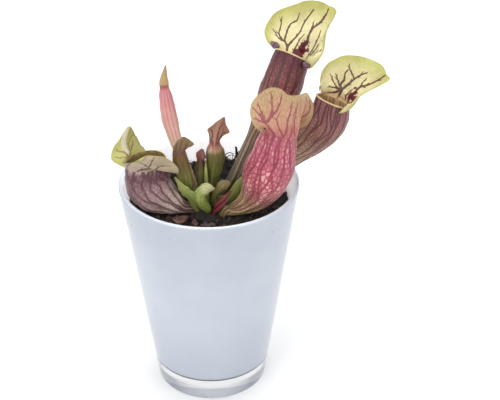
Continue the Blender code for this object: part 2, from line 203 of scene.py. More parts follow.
@dataclass
class Shell:
    """The vertices, faces and surface values of one mesh, gathered patch by patch."""

    points: list[np.ndarray] = field(default_factory=list)
    values: dict[str, list[np.ndarray]] = field(default_factory=dict)
    faces: list[list[int]] = field(default_factory=list)
    uvs: list[np.ndarray] = field(default_factory=list)
    count: int = 0

    def add(self, points: np.ndarray, values: dict[Value, np.ndarray] | None = None) -> np.ndarray:
        """Add vertices.

        Args:
            points: Places in millimetres, of any grid shape.
            values: Surface values that spread to the grid's shape; those left out are 0.

        Returns:
            The new vertices' numbers, in the grid's shape.
        """
        shape = points.shape[:-1]
        size = int(np.prod(shape))
        self.points.append(points.reshape(-1, 3))
        for kind in Value:
            block = (values or {}).get(kind, 0.0)
            self.values.setdefault(kind.value, []).append(np.broadcast_to(block, shape).ravel())
        numbers = np.arange(self.count, self.count + size).reshape(shape)
        self.count += size
        return numbers

    def skin(self, numbers: np.ndarray, uv: np.ndarray, period: float | None = None, flip: bool = False) -> None:
        """Add a quad between each four neighbours of a grid of vertices.

        Args:
            numbers: Vertex numbers, rows by columns.
            uv: The grid's map, the same shape with two numbers each.
            period: The map's width where the last column joins the first, or None for an open grid.
            flip: Whether the quads face the other way.
        """
        if period is not None:
            numbers = np.concatenate([numbers, numbers[:, :1]], axis=1)
            uv = np.concatenate([uv, uv[:, :1] + [period, 0.0]], axis=1)
        corners = [(slice(None, -1), slice(None, -1)), (slice(None, -1), slice(1, None))]
        corners += [(slice(1, None), slice(1, None)), (slice(1, None), slice(None, -1))]
        if flip:
            corners.reverse()
        quads = np.stack([numbers[c] for c in corners], axis=-1).reshape(-1, 4)
        maps = np.stack([uv[c] for c in corners], axis=-2).reshape(-1, 4, 2)
        self.faces.extend(quads.tolist())
        self.uvs.append(maps.reshape(-1, 2))

    def cap(self, ring: np.ndarray, pole: np.ndarray | Point, flip: bool = False) -> None:
        """Close a ring with triangles to one pole.

        Args:
            ring: Vertex numbers round the opening.
            pole: The pole's place.
            flip: Whether the triangles face the other way.
        """
        top = self.add(np.array(pole, float)[None])[0]
        pairs = np.stack([ring, np.roll(ring, -1), np.full(len(ring), top)], axis=1)
        self.faces.extend((pairs[:, ::-1] if flip else pairs).tolist())
        self.uvs.append(np.zeros((3 * len(ring), 2)))

    def barrel(
        self,
        points: np.ndarray,
        uv: np.ndarray,
        period: float,
        poles: tuple[np.ndarray | Point, np.ndarray | Point] | None = None,
        values: dict[Value, np.ndarray] | None = None,
        flip: bool = False,
    ) -> None:
        """Add rings, skinned one to the next and closed at both ends.

        Args:
            points: Places, rings by columns.
            uv: The map, the same shape with two numbers each.
            period: The map's width round a ring.
            poles: What closes the first and the last ring; their own middles where left out.
            values: Surface values that spread to the rings.
            flip: Whether the first ring is the far end, so that the faces turn the other way.
        """
        numbers = self.add(points, values)
        self.skin(numbers, uv, period, flip)
        low, high = poles or (points[0].mean(axis=0), points[-1].mean(axis=0))
        self.cap(numbers[0], low, not flip)
        self.cap(numbers[-1], high, flip)

    def build(self, name: str, material: bpy.types.Material) -> bpy.types.Object:
        """Make the object, smooth shaded, with its map and values.

        Args:
            name: The object's name.
            material: Its only material.

        Returns:
            The new object, at the origin.
        """
        mesh = bpy.data.meshes.new(name)
        mesh.from_pydata((MM * np.concatenate(self.points)).tolist(), [], self.faces)
        layer = mesh.uv_layers.new(name="surface")
        layer.data.foreach_set("uv", (MM * np.concatenate(self.uvs)).astype(np.float32).ravel())
        for kind, blocks in self.values.items():
            column = np.concatenate(blocks)
            if np.any(column):
                store = mesh.attributes.new(kind, "FLOAT", "POINT")
                store.data.foreach_set("value", column.astype(np.float32))
        mesh.shade_smooth()
        mesh.materials.append(material)
        thing = bpy.data.objects.new(name, mesh)
        bpy.context.scene.collection.objects.link(thing)
        return thing


ASLANT = np.array([0.31, 0.17, 0.93])  # a way that no strand runs along


def strand(shell: Shell, line: np.ndarray, radius: np.ndarray, sides: int = 6) -> None:
    """Add a round strand: rings of the given radius square to a line, closed at both ends.

    Args:
        shell: The mesh to add to.
        line: Points along the middle.
        radius: One radius for each point.
        sides: Faces round the strand.
    """
    along = unit(np.gradient(line, axis=0))
    side = unit(np.cross(along, ASLANT))
    other = np.cross(along, side)
    turn = turns(sides)
    ring = np.cos(turn)[None, :, None] * side[:, None] + np.sin(turn)[None, :, None] * other[:, None]
    points = line[:, None] + radius[:, None, None] * ring
    run = shares(line) * np.linalg.norm(np.diff(line, axis=0), axis=1).sum()
    ends = line[0] - 0.5 * radius[0] * along[0], line[-1] + 0.5 * radius[-1] * along[-1]
    shell.barrel(points, stacked(turn, run[:, None]), 2 * np.pi, ends, {Value.HEIGHT: shares(line)[:, None]})


def turned(
    name: str,
    profile: np.ndarray,
    sides: int,
    material: bpy.types.Material,
    values: dict[Value, np.ndarray] | None = None,
) -> bpy.types.Object:
    """Build a solid turned about Z: each profile point runs round a circle, and the axis closes both ends.

    Args:
        name: The object's name.
        profile: Radius and height pairs, from the underside's middle outward and round.
        sides: Faces round the axis.
        material: Its material.
        values: Surface values, one row for each profile point.

    Returns:
        The object.
    """
    turn = turns(sides)
    radius, height = profile[:, :1], profile[:, 1:]
    run = np.concatenate([[0.0], np.cumsum(np.hypot(*np.diff(profile, axis=0).T))])
    points = stacked(radius * np.cos(turn), radius * np.sin(turn), height)
    poles = (0, 0, height[0, 0]), (0, 0, height[-1, 0])
    shell = Shell()
    shell.barrel(points, stacked(turn * radius.max(), run[:, None]), 2 * np.pi * radius.max(), poles, values)
    return shell.build(name, material)


# --------------------------------------------------------------------------- shader nodes


def linear(colour: Colour) -> tuple[float, float, float]:
    """Return a display colour, 0 to 255, as linear light: ((c + 0.055) / 1.055) to the power 2.4."""
    share = np.asarray(colour, float) / 255.0
    light = np.where(share < 0.04045, share / 12.92, ((share + 0.055) / 1.055) ** 2.4)
    return tuple(float(part) for part in light)


class Graph:
    """A material's node tree, with short ways to add and join nodes."""

    def __init__(self, tree: bpy.types.NodeTree) -> None:
        """Hold the tree that the methods add to."""
        self.tree = tree

    def node(self, kind: str, *sources: object, **more: object) -> bpy.types.Node:
        """Add a node and fill it in.

        Args:
            kind: The node's type, without its leading `ShaderNode`.
            sources: What its first inputs take, in order.
            more: Properties in lower case, and inputs by name with spaces written as underscores.

        Returns:
            The node.
        """
        made = self.tree.nodes.new("ShaderNode" + kind)
        for key in [key for key in more if key.islower()]:
            setattr(made, key, more.pop(key))
        for socket, source in zip(made.inputs, sources):
            self.feed(socket, source)
        for key, source in more.items():
            self.feed(made.inputs[key.replace("_", " ")], source)
        return made

    def feed(self, socket: bpy.types.NodeSocket, source: object) -> None:
        """Link a socket from another, or set its value.

        Args:
            socket: The input.
            source: An output socket, a number or a colour.
        """
        if isinstance(source, bpy.types.NodeSocket):
            self.tree.links.new(source, socket)
        elif isinstance(source, tuple) and len(source) == 3 and socket.type == "RGBA":
            socket.default_value = (*linear(source), 1.0)
        else:
            socket.default_value = source

    def value(self, kind: Value) -> bpy.types.NodeSocket:
        """Return a surface value of the mesh."""
        return self.node("Attribute", attribute_name=kind.value).outputs["Fac"]

    def place(self) -> bpy.types.NodeSocket:
        """Return the place on the object, in metres."""
        return self.node("TexCoord").outputs["Object"]

    def level(self) -> bpy.types.NodeSocket:
        """Return the height above the object's foot, in metres."""
        return self.node("SeparateXYZ", self.place()).outputs[2]

    def maths(self, operation: str, first: object, second: object = 0.0, clamp: bool = True) -> bpy.types.NodeSocket:
        """Return the result of one operation on two numbers, clamped unless it says otherwise."""
        return self.node("Math", first, second, operation=operation, use_clamp=clamp).outputs[0]

    def vectors(self, operation: str, first: object, second: object) -> bpy.types.NodeSocket:
        """Return the result of one operation on two vectors."""
        return self.node("VectorMath", first, second, operation=operation).outputs[0]

    def mix(self, factor: object, first: object, second: object, blend: str = "MIX") -> bpy.types.NodeSocket:
        """Return the first colour with the second laid over it by the factor."""
        made = self.node("Mix", factor, data_type="RGBA", blend_type=blend)
        self.feed(made.inputs[6], first)
        self.feed(made.inputs[7], second)
        return made.outputs[2]

    def ramp(self, factor: object, stops: Stops) -> bpy.types.NodeSocket:
        """Return the colour that a ramp gives for a factor.

        Args:
            factor: The place on the ramp.
            stops: Places and colours, rising.

        Returns:
            The colour output.
        """
        made = self.node("ValToRGB", factor)
        elements = made.color_ramp.elements
        while len(elements) < len(stops):
            elements.new(0.5)
        for element, (place, colour) in zip(elements, stops):
            element.position = place
            element.color = (*linear(colour), 1.0)
        return made.outputs[0]

    def span(
        self, source: object, low: float, high: float, to_low: float = 0.0, to_high: float = 1.0
    ) -> bpy.types.NodeSocket:
        """Return a number moved from one span to another, smoothly, and held inside it."""
        made = self.node("MapRange", source, low, high, to_low, to_high, interpolation_type="SMOOTHSTEP")
        return made.outputs[0]

    def mottle(self, groups: Groups, soft_size: float, fine_size: float) -> tuple[object, object]:
        """Return the soft blotches and the fine grain of the mottling, of the given sizes in metres."""
        made = self.node("Group", self.place(), node_tree=groups.mottle, Soft_Size=soft_size, Fine_Size=fine_size)
        return made.outputs["Soft"], made.outputs["Fine"]

    def bump(self, height: object, distance: float, strength: float, **under: object) -> bpy.types.NodeSocket:
        """Return the normal of a height whose full depth is the distance, in metres, over another normal."""
        return self.node("Bump", Strength=strength, Distance=distance, Height=height, **under).outputs[0]


def new_group(name: str, inputs: dict[str, tuple[str, object]], outputs: dict[str, str]) -> tuple[Graph, dict, dict]:
    """Start a shader node group with named sockets.

    Args:
        name: The group's name.
        inputs: Socket type and default for each input.
        outputs: Socket type for each output.

    Returns:
        The graph, its inputs' sockets by name, and its output node's sockets by name.
    """
    tree = bpy.data.node_groups.new(name, "ShaderNodeTree")
    for key, (kind, default) in inputs.items():
        socket = tree.interface.new_socket(name=key, in_out="INPUT", socket_type=kind)
        if default is not None:
            socket.default_value = default
    for key, kind in outputs.items():
        tree.interface.new_socket(name=key, in_out="OUTPUT", socket_type=kind)
    start = tree.nodes.new("NodeGroupInput")
    end = tree.nodes.new("NodeGroupOutput")
    return Graph(tree), {k: start.outputs[k] for k in inputs}, {k: end.inputs[k] for k in outputs}


def build_netting() -> bpy.types.NodeTree:
    """Build the leaf netting: pale cells between fine veins, on the surface map.

    Returns:
        A group that gives `Cell`, 1 in the middle of a cell, `Line`, 1 on a fine vein, and `Height`.
    """
    number, vector = "NodeSocketFloat", "NodeSocketVector"
    graph, given, out = new_group(
        "leaf_netting",
        {"Map": (vector, None), "Size": (number, 0.001), "Stretch": (number, 2.0), "Wander": (number, 0.3)},
        {"Cell": number, "Line": number, "Height": number},
    )
    rate = graph.maths("DIVIDE", 1.0, given["Size"], clamp=False)
    both = graph.node("CombineXYZ", rate, graph.maths("DIVIDE", rate, given["Stretch"], clamp=False)).outputs[0]
    sized = graph.vectors("MULTIPLY", given["Map"], both)
    stray = graph.vectors("SUBTRACT", graph.node("TexNoise", sized, Scale=0.9).outputs["Color"], (0.5, 0.5, 0.5))
    moved = graph.vectors("ADD", sized, graph.vectors("MULTIPLY", stray, given["Wander"]))
    edges = graph.node("TexVoronoi", moved, feature="DISTANCE_TO_EDGE", voronoi_dimensions="2D", Scale=1.0)
    cells = graph.node("TexVoronoi", moved, feature="F1", voronoi_dimensions="2D", Scale=1.0)
    chance = graph.node("SeparateColor", cells.outputs["Color"]).outputs[0]
    gap = edges.outputs["Distance"]
    inside = graph.span(gap, 0.05, 0.32)
    graph.feed(out["Cell"], graph.maths("MULTIPLY", inside, graph.span(chance, 0.0, 1.0, 0.35, 1.0)))
    graph.feed(out["Line"], graph.span(gap, 0.02, 0.11, 1.0, 0.0))
    graph.feed(out["Height"], inside)
    return graph.tree


def build_mottle() -> bpy.types.NodeTree:
    """Build mottling: soft blotches and fine grain from two sizes of noise.

    Returns:
        A group that gives `Soft` and `Fine`, both about 0 to 1.
    """
    number, vector = "NodeSocketFloat", "NodeSocketVector"
    graph, given, out = new_group(
        "mottle",
        {"Map": (vector, None), "Soft Size": (number, 0.01), "Fine Size": (number, 0.0008)},
        {"Soft": number, "Fine": number},
    )
    for key, low, high in (("Soft", 0.3, 0.7), ("Fine", 0.25, 0.75)):
        rate = graph.maths("DIVIDE", 1.0, given[key + " Size"], clamp=False)
        noise = graph.node("TexNoise", given["Map"], Scale=rate, Detail=4.0)
        graph.feed(out[key], graph.span(noise.outputs["Fac"], low, high))
    return graph.tree


@dataclass(frozen=True)
class Groups:
    """The shader groups that the finishes share."""

    netting: bpy.types.NodeTree
    mottle: bpy.types.NodeTree


def start_material(name: str, **settings: float | Point) -> tuple[bpy.types.Material, Graph, dict]:
    """Start a material.

    Args:
        name: Its name.
        settings: The shader's plain values by name, with spaces written as underscores.

    Returns:
        The material, its graph and the inputs of its Principled shader.
    """
    material = bpy.data.materials.new(name)
    material.use_nodes = True
    graph = Graph(material.node_tree)
    inputs = material.node_tree.nodes["Principled BSDF"].inputs
    for key, setting in settings.items():
        inputs[key.replace("_", " ")].default_value = setting
    return material, graph, inputs


@dataclass(frozen=True)
class LeafFinish:
    """The colours of one leaf, from its foot to its hood.

    Ramps run along the tube from 0 at the foot to 1 at the mouth: `ground` lies under everything,
    `cells` is the pale tint between the veins and `vein` the veins' own colour, also laid as painted shade
    in the grooves between ribs and ridges. A hood's inner side goes from `hood_low` at the mouth over `hood_in`
    to `hood_in_edge` at its margin, and its outer side from `hood_out_low` over `hood_out` to `hood_out_edge`.
    Sizes and reliefs are in metres.
    """

    name: str
    ground: Stops
    cells: Stops
    vein: Stops
    inside: Colour = (120, 92, 70)
    hood_out: Colour = (170, 150, 110)
    hood_out_edge: Colour = (180, 164, 112)
    hood_out_low: Colour = (170, 140, 112)
    hood_low: Colour = (150, 128, 88)
    hood_in: Colour = (190, 176, 116)
    hood_in_edge: Colour = (190, 184, 110)
    hood_vein: Colour = (118, 50, 58)
    hood_vein_out: Colour = (130, 60, 70)
    # Dark staining inside the mouth; the left leaf sets it to a pale painted highlight along its fold.
    blotch_and_highlight: Colour = (104, 22, 38)
    cell_size: float = 0.0014
    stretch: float = 1.9
    cell_strength: float = 0.8
    line_strength: float = 0.35
    vein_strength: float = 0.8
    hood_net: float = 0.16
    roughness: float = 0.42
    relief: float = 0.00022
    grain: float = 0.00006

    def tube_colour(self, graph: Graph, net: bpy.types.Node, soft: object) -> bpy.types.NodeSocket:
        """Return the tube's colour: ground, pale cells, fine lines, then the long veins and the painted shade in the
        grooves.

        Args:
            graph: The material's graph.
            net: The netting group.
            soft: The mottle's soft blotches.

        Returns:
            The colour output.
        """
        height = graph.value(Value.HEIGHT)
        vein = graph.value(Value.VEIN_AND_RIB_SHADE)
        fresh = graph.maths("MULTIPLY", net.outputs["Cell"], graph.span(soft, 0.0, 1.0, 0.55, 1.0))
        fresh = graph.maths("MULTIPLY", fresh, self.cell_strength)
        dark = graph.ramp(height, self.vein)
        colour = graph.mix(fresh, graph.ramp(height, self.ground), graph.ramp(height, self.cells))
        colour = graph.mix(graph.maths("MULTIPLY", net.outputs["Line"], self.line_strength), colour, dark)
        colour = graph.mix(graph.maths("MULTIPLY", vein, self.vein_strength), colour, dark)
        lining = graph.mix(graph.maths("MULTIPLY", vein, 0.5), self.inside, self.hood_vein)
        return graph.mix(graph.value(Value.INNER), colour, lining)

    def hood_colour(self, graph: Graph, net: bpy.types.Node) -> bpy.types.NodeSocket:
        """Return the hood's colour, its inner and outer sides by their own tints and veins.

        Args:
            graph: The material's graph.
            net: The netting group.

        Returns:
            The colour output.
        """
        vein = graph.span(graph.value(Value.VEIN_AND_RIB_SHADE), 0.12, 0.6)
        edge = graph.value(Value.EDGE)
        faint = graph.maths("MULTIPLY", net.outputs["Line"], self.hood_net)
        front = graph.mix(graph.span(graph.value(Value.LOBE), 0.02, 0.3), self.hood_low, self.hood_in)
        front = graph.mix(edge, front, self.hood_in_edge)
        front = graph.mix(faint, front, self.hood_vein)
        # Dark staining inside the mouth, and on the left leaf a pale painted highlight along the fold.
        front = graph.mix(graph.value(Value.BLOTCH_AND_HIGHLIGHT), front, self.blotch_and_highlight)
        front = graph.mix(graph.maths("MULTIPLY", vein, 0.9), front, self.hood_vein)
        rear = graph.mix(graph.span(graph.value(Value.LOBE), COLLAR_LOBE, 0.6), self.hood_out_low, self.hood_out)
        rear = graph.mix(edge, rear, self.hood_out_edge)
        rear = graph.mix(faint, rear, self.hood_vein_out)
        rear = graph.mix(graph.maths("MULTIPLY", vein, 0.8), rear, self.hood_vein_out)
        return graph.mix(graph.value(Value.INNER), rear, front)

    def material(self, groups: Groups) -> bpy.types.Material:
        """Build the leaf's material from its surface values and the shared groups.

        Args:
            groups: The netting and the mottle.

        Returns:
            The material.
        """
        material, graph, shader = start_material(
            self.name, Subsurface_Weight=0.1, Subsurface_Radius=(0.004, 0.002, 0.001), Subsurface_Scale=0.5,
            Specular_IOR_Level=0.3, Coat_Weight=0.06, Coat_Roughness=0.3,
        )
        surface = graph.node("UVMap", uv_map="surface").outputs[0]
        net = graph.node(
            "Group", surface, node_tree=groups.netting, Size=self.cell_size, Stretch=self.stretch, Wander=0.6
        )
        soft, fine = graph.mottle(groups, 0.012, 0.0009)
        tube = self.tube_colour(graph, net, soft)
        colour = graph.mix(graph.span(graph.value(Value.LOBE), 0.0, COLLAR_LOBE), tube, self.hood_colour(graph, net))
        shade = graph.ramp(soft, ((0.0, (232, 230, 226)), (1.0, WHITE)))
        graph.feed(shader["Base Color"], graph.mix(0.8, colour, shade, "MULTIPLY"))
        graph.feed(shader["Roughness"], graph.span(fine, 0.0, 1.0, self.roughness - 0.06, self.roughness + 0.08))
        cells = graph.maths("MULTIPLY", net.outputs["Height"], 0.6)
        relief = graph.maths("ADD", cells, graph.maths("MULTIPLY", graph.value(Value.VEIN_AND_RIB_SHADE), 0.35))
        grain = graph.bump(fine, self.grain, 0.5)
        graph.feed(shader["Normal"], graph.bump(relief, self.relief, 0.7, Normal=grain))
        return material


@dataclass(frozen=True)
class EarthFinish:
    """A dark, dry or woody finish: two tints by mottle, with a rough grain."""

    name: str
    dark: Colour
    light: Colour
    roughness: float = 0.9
    soft_size: float = 0.006
    fine_size: float = 0.0006
    grain: float = 0.0004

    def material(self, groups: Groups) -> bpy.types.Material:
        """Build the material; its colour goes from dark to light by both sizes of mottle.

        Args:
            groups: The netting and the mottle.

        Returns:
            The material.
        """
        material, graph, shader = start_material(self.name)
        soft, fine = graph.mottle(groups, self.soft_size, self.fine_size)
        graph.feed(shader["Base Color"], graph.mix(graph.maths("MULTIPLY", soft, fine), self.dark, self.light))
        graph.feed(shader["Roughness"], graph.span(fine, 0.0, 1.0, self.roughness - 0.2, self.roughness))
        graph.feed(shader["Normal"], graph.bump(fine, self.grain, 0.8))
        return material


@dataclass(frozen=True)
class GlassFinish:
    """Clear glass with a few small scuffs, with painted shade that darkens the sides of its foot where they turn from
    view.
    """

    name: str = "clear_glass"
    foot: tuple[float, float] = (0.011, 0.0145)
    clear: Colour = (253, 254, 255)
    # Painted shade: the greyed tint laid on the foot's sides.
    painted_foot_shade: Colour = (128, 134, 144)

    def material(self, groups: Groups) -> bpy.types.Material:
        """Build the glass; light from lamps passes it, so what is behind it stays lit.

        Args:
            groups: The netting and the mottle.

        Returns:
            The material.
        """
        material, graph, shader = start_material(self.name, Transmission_Weight=1.0, IOR=1.5)
        # Painted shade: the foot's sides are greyed where they face away from view.
        turned_away = graph.span(graph.node("LayerWeight").outputs["Facing"], 0.2, 0.6)
        painted_foot_shade = graph.maths("MULTIPLY", turned_away, graph.span(graph.level(), *self.foot, 1.0, 0.0))
        graph.feed(shader["Base Color"], graph.mix(painted_foot_shade, self.clear, self.painted_foot_shade))
        soft, _ = graph.mottle(groups, 0.009, 0.0008)
        graph.feed(shader["Roughness"], graph.span(soft, 0.7, 1.0, 0.0, 0.03))
        shadow = graph.node("LightPath").outputs["Is Shadow Ray"]
        passing = graph.node("BsdfTransparent").outputs[0]
        glass = material.node_tree.nodes["Principled BSDF"].outputs[0]
        blend = graph.node("MixShader", shadow, glass, passing)
        graph.feed(material.node_tree.nodes["Material Output"].inputs["Surface"], blend.outputs[0])
        return material


@dataclass(frozen=True)
class LacquerFinish:
    """Bluish-white lacquer with clouding and fine scuffs; painted shade darkens it towards the foot and in a dark line
    at its lower edge, and its lining and floor give off painted light.
    """

    base: float
    # Painted light: how strongly the lining and the floor give off white light.
    painted_glow: float = 0.25
    tones: tuple[Colour, Colour] = ((227, 233, 244), (234, 239, 248))
    # Painted shade: the darker tint at the floor, fading out by the next height, in metres.
    thick: Colour = (213, 219, 231)
    low_shade_top: float = 0.09
    lining: Colour = (250, 250, 252)
    scuff: Colour = (236, 239, 245)
    # Painted shade: the dark line where the floor meets the wall, with its place and softness.
    line: Colour = (44, 50, 62)
    line_up: float = 0.4
    line_soft: float = 0.3
    line_fade: tuple[float, float] = (1.2, 2.0)
    name: str = "white_lacquer"

    def material(self, groups: Groups) -> bpy.types.Material:
        """Build the lacquer: its tint clouds softly; painted shade darkens it towards the foot and in a line where the
        floor meets the wall, and its lining and floor give off painted light.

        Args:
            groups: The netting and the mottle.

        Returns:
            The material.
        """
        material, graph, shader = start_material(self.name, Emission_Strength=self.painted_glow)
        soft, fine = graph.mottle(groups, 0.03, 0.0012)
        level, lining = graph.level(), graph.value(Value.INNER)
        tone = graph.mix(soft, self.tones[0], self.tones[1])
        # Painted shade: darker towards the foot.
        tone = graph.mix(graph.span(level, self.base * MM, self.low_shade_top, 1.0, 0.0), tone, self.thick)
        tone = graph.mix(lining, tone, self.lining)
        tone = graph.mix(graph.span(fine, 0.84, 0.95, 0.0, 0.6), tone, self.scuff)
        # Painted shade: a dark line where the floor meets the wall.
        low, soft_edge = (self.base + self.line_up) * MM, self.line_soft * MM
        fading = graph.span(level, *(low + up * MM for up in self.line_fade), 1.0, 0.0)
        line = graph.maths("MULTIPLY", graph.span(level, low, low + soft_edge), fading)
        graph.feed(shader["Base Color"], graph.mix(line, tone, self.line))
        # Painted light: the lining and the floor below the line give off white light.
        under = graph.span(level, low - soft_edge, low, 1.0, 0.0)
        graph.feed(shader["Emission Color"], graph.mix(graph.maths("MAXIMUM", lining, under), BLACK, WHITE))
        graph.feed(shader["Roughness"], graph.span(fine, 0.0, 1.0, 0.42, 0.55))
        return material


# --------------------------------------------------------------------------- the crown


@dataclass(frozen=True)
class Crown:
    """The low dome of old leaf bases that the leaves grow from."""

    centre: tuple[float, float] = (0.0, -14.5)
    radius: float = 13.0
    top: float = 144.5
    depth: float = 6.0
    under: float = 5.0
    scales: int = 9
    swell: float = 0.06
    twist: float = 9.0
    lumps: float = 0.5
    pole: float = 0.3
    sides: int = 96
    rows: int = 40

    def height(self, distance: float) -> float:
        """Return the dome's height at a distance from its middle: top - depth (d / radius)^2."""
        return self.top - self.depth * min(distance / self.radius, 1.0) ** 2

    def seat(self, degrees: float, distance: float) -> tuple[np.ndarray, np.ndarray]:
        """Return where a leaf leaves the dome, and the dome's outward direction there.

        Args:
            degrees: The way round, from +X.
            distance: How far from the middle.

        Returns:
            The place and the direction.
        """
        turn = np.radians(degrees)
        way = np.array([np.cos(turn), np.sin(turn)])
        slope = 2 * self.depth * distance / self.radius**2
        place = np.array([*(np.array(self.centre) + distance * way), self.height(distance)])
        return place, unit(np.array([*(slope * way), 1.0]))

    def build(self, material: bpy.types.Material) -> bpy.types.Object:
        """Build the dome: rings whose radius swells in overlapping scales.

        Args:
            material: The crown's finish.

        Returns:
            The object.
        """
        share = np.linspace(0, 1, self.rows)[:, None]
        turn = turns(self.sides)
        base = self.top - self.depth - self.under
        dome = self.top - self.depth * np.clip(1 - (share - 0.5) * 2, 0, 1) ** 2
        height = np.where(share < 0.5, base + self.under * 2 * share, dome)
        radius = self.radius * np.where(share < 0.5, 0.7 + 0.3 * ease(0, 0.5, share), 2 - 2 * share)
        swell = 1 + self.swell * np.sin(self.scales * turn + self.twist * share)
        reach = np.maximum(radius, self.pole) * swell
        x, y = self.centre[0] + reach * np.cos(turn), self.centre[1] + reach * np.sin(turn)
        points = stacked(x, y, height)
        points[..., 2] += self.lumps * Cloud(5, 4.0).at(points) * np.sin(np.pi * share)
        uv = stacked(turn * self.radius, 20 * share)
        shell = Shell()
        shell.barrel(points, uv, 2 * np.pi * self.radius, ((*self.centre, base), (*self.centre, self.top)))
        return shell.build("crown_knot", material)


CROWN = Crown()


# --------------------------------------------------------------------------- leaves


STEP = 0.004  # the share of a spine over which its direction is taken


@dataclass(frozen=True)
class Spine:
    """The middle line of a leaf, with the way to its back and across it."""

    seat: tuple[float, float]
    points: tuple[Point, ...]
    back: Point
    root: float = 1.2
    sprout: float = 2.5

    def line(self) -> np.ndarray:
        """Return the line's points, from just inside the crown to the leaf's end."""
        start, out = CROWN.seat(*self.seat)
        return np.vstack([start - self.root * out, start + self.sprout * out, self.points])

    def length(self) -> float:
        """Return the line's length."""
        return float(np.linalg.norm(np.diff(self.line(), axis=0), axis=1).sum())

    def frames(self, at: np.ndarray) -> tuple[np.ndarray, np.ndarray, np.ndarray, np.ndarray]:
        """Return the middle, the way along, the way to the back and the way across.

        Args:
            at: Shares of the length.

        Returns:
            Four arrays, one row for each share.
        """
        line = self.line()
        knots = shares(line)
        centre = curve_through(knots, line, at)
        along = unit(curve_through(knots, line, at + STEP) - curve_through(knots, line, at - STEP))
        back = np.asarray(self.back, float)
        to_back = unit(back - (along @ back)[:, None] * along)
        return centre, along, to_back, np.cross(along, to_back)


def nearness(points: np.ndarray, line: np.ndarray, start: float, end: float) -> np.ndarray:
    """Return how near each point is to a line: 1 on it, easing to 0 at a width that tapers along it.

    Args:
        points: Places, x, y, z on the last axis.
        line: The line's points.
        start: The width at its start.
        end: The width at its end.

    Returns:
        One value for each point.
    """
    flat = points.reshape(-1, 1, 3)
    low, step = line[:-1][None], np.diff(line, axis=0)[None]
    along = np.clip(((flat - low) * step).sum(-1) / np.maximum((step**2).sum(-1), TINY), 0, 1)
    gap = np.linalg.norm(flat - low - along[..., None] * step, axis=-1)
    best = gap.argmin(axis=1)
    row = np.arange(len(best))
    place = (best + along[row, best]) / step.shape[1]
    width = start + (end - start) * place
    return (1 - ease(0.35, 1.3, gap[row, best] / width)).reshape(points.shape[:-1])


@dataclass(frozen=True)
class Vein:
    """A vein of a hood: places (across, up) on the hood, its width at both ends, and its twigs."""

    path: tuple[tuple[float, float], ...]
    start: float = 0.75
    end: float = 0.4
    twigs: int = 4
    reach: float = 4.0


@dataclass(frozen=True)
class Fold:
    """A crease or ridge of a hood: places (across, up), how far it stands out, and its half width."""

    path: tuple[tuple[float, float], ...]
    rise: float
    width: float


@dataclass(frozen=True)
class Hood:
    """The lid of a pitcher: where it grows from, how it rises, its margin, veins and folds."""

    spread: float
    neck: float
    flare: float
    margin: tuple[Point, ...]
    slope: float = -1.0
    lean: float = 0.0
    wave: float = 0.5
    ripples: float = 6.0
    veins: tuple[Vein, ...] = ()
    curls: tuple[tuple[tuple[Point, ...], float], ...] = ()
    fan: int = 9
    folds: tuple[Fold, ...] = ()
    # Where the hood is marked: dark staining inside the mouth, and on the left leaf a painted highlight along its
    # fold.
    stain_and_highlight: tuple[tuple[float, float], ...] = ()
    stain_and_highlight_size: float = 4.0
    stain_and_highlight_break: float = 0.5


TUBE_MAP = 12.0  # the radius, in millimetres, that every tube's map is rolled out at


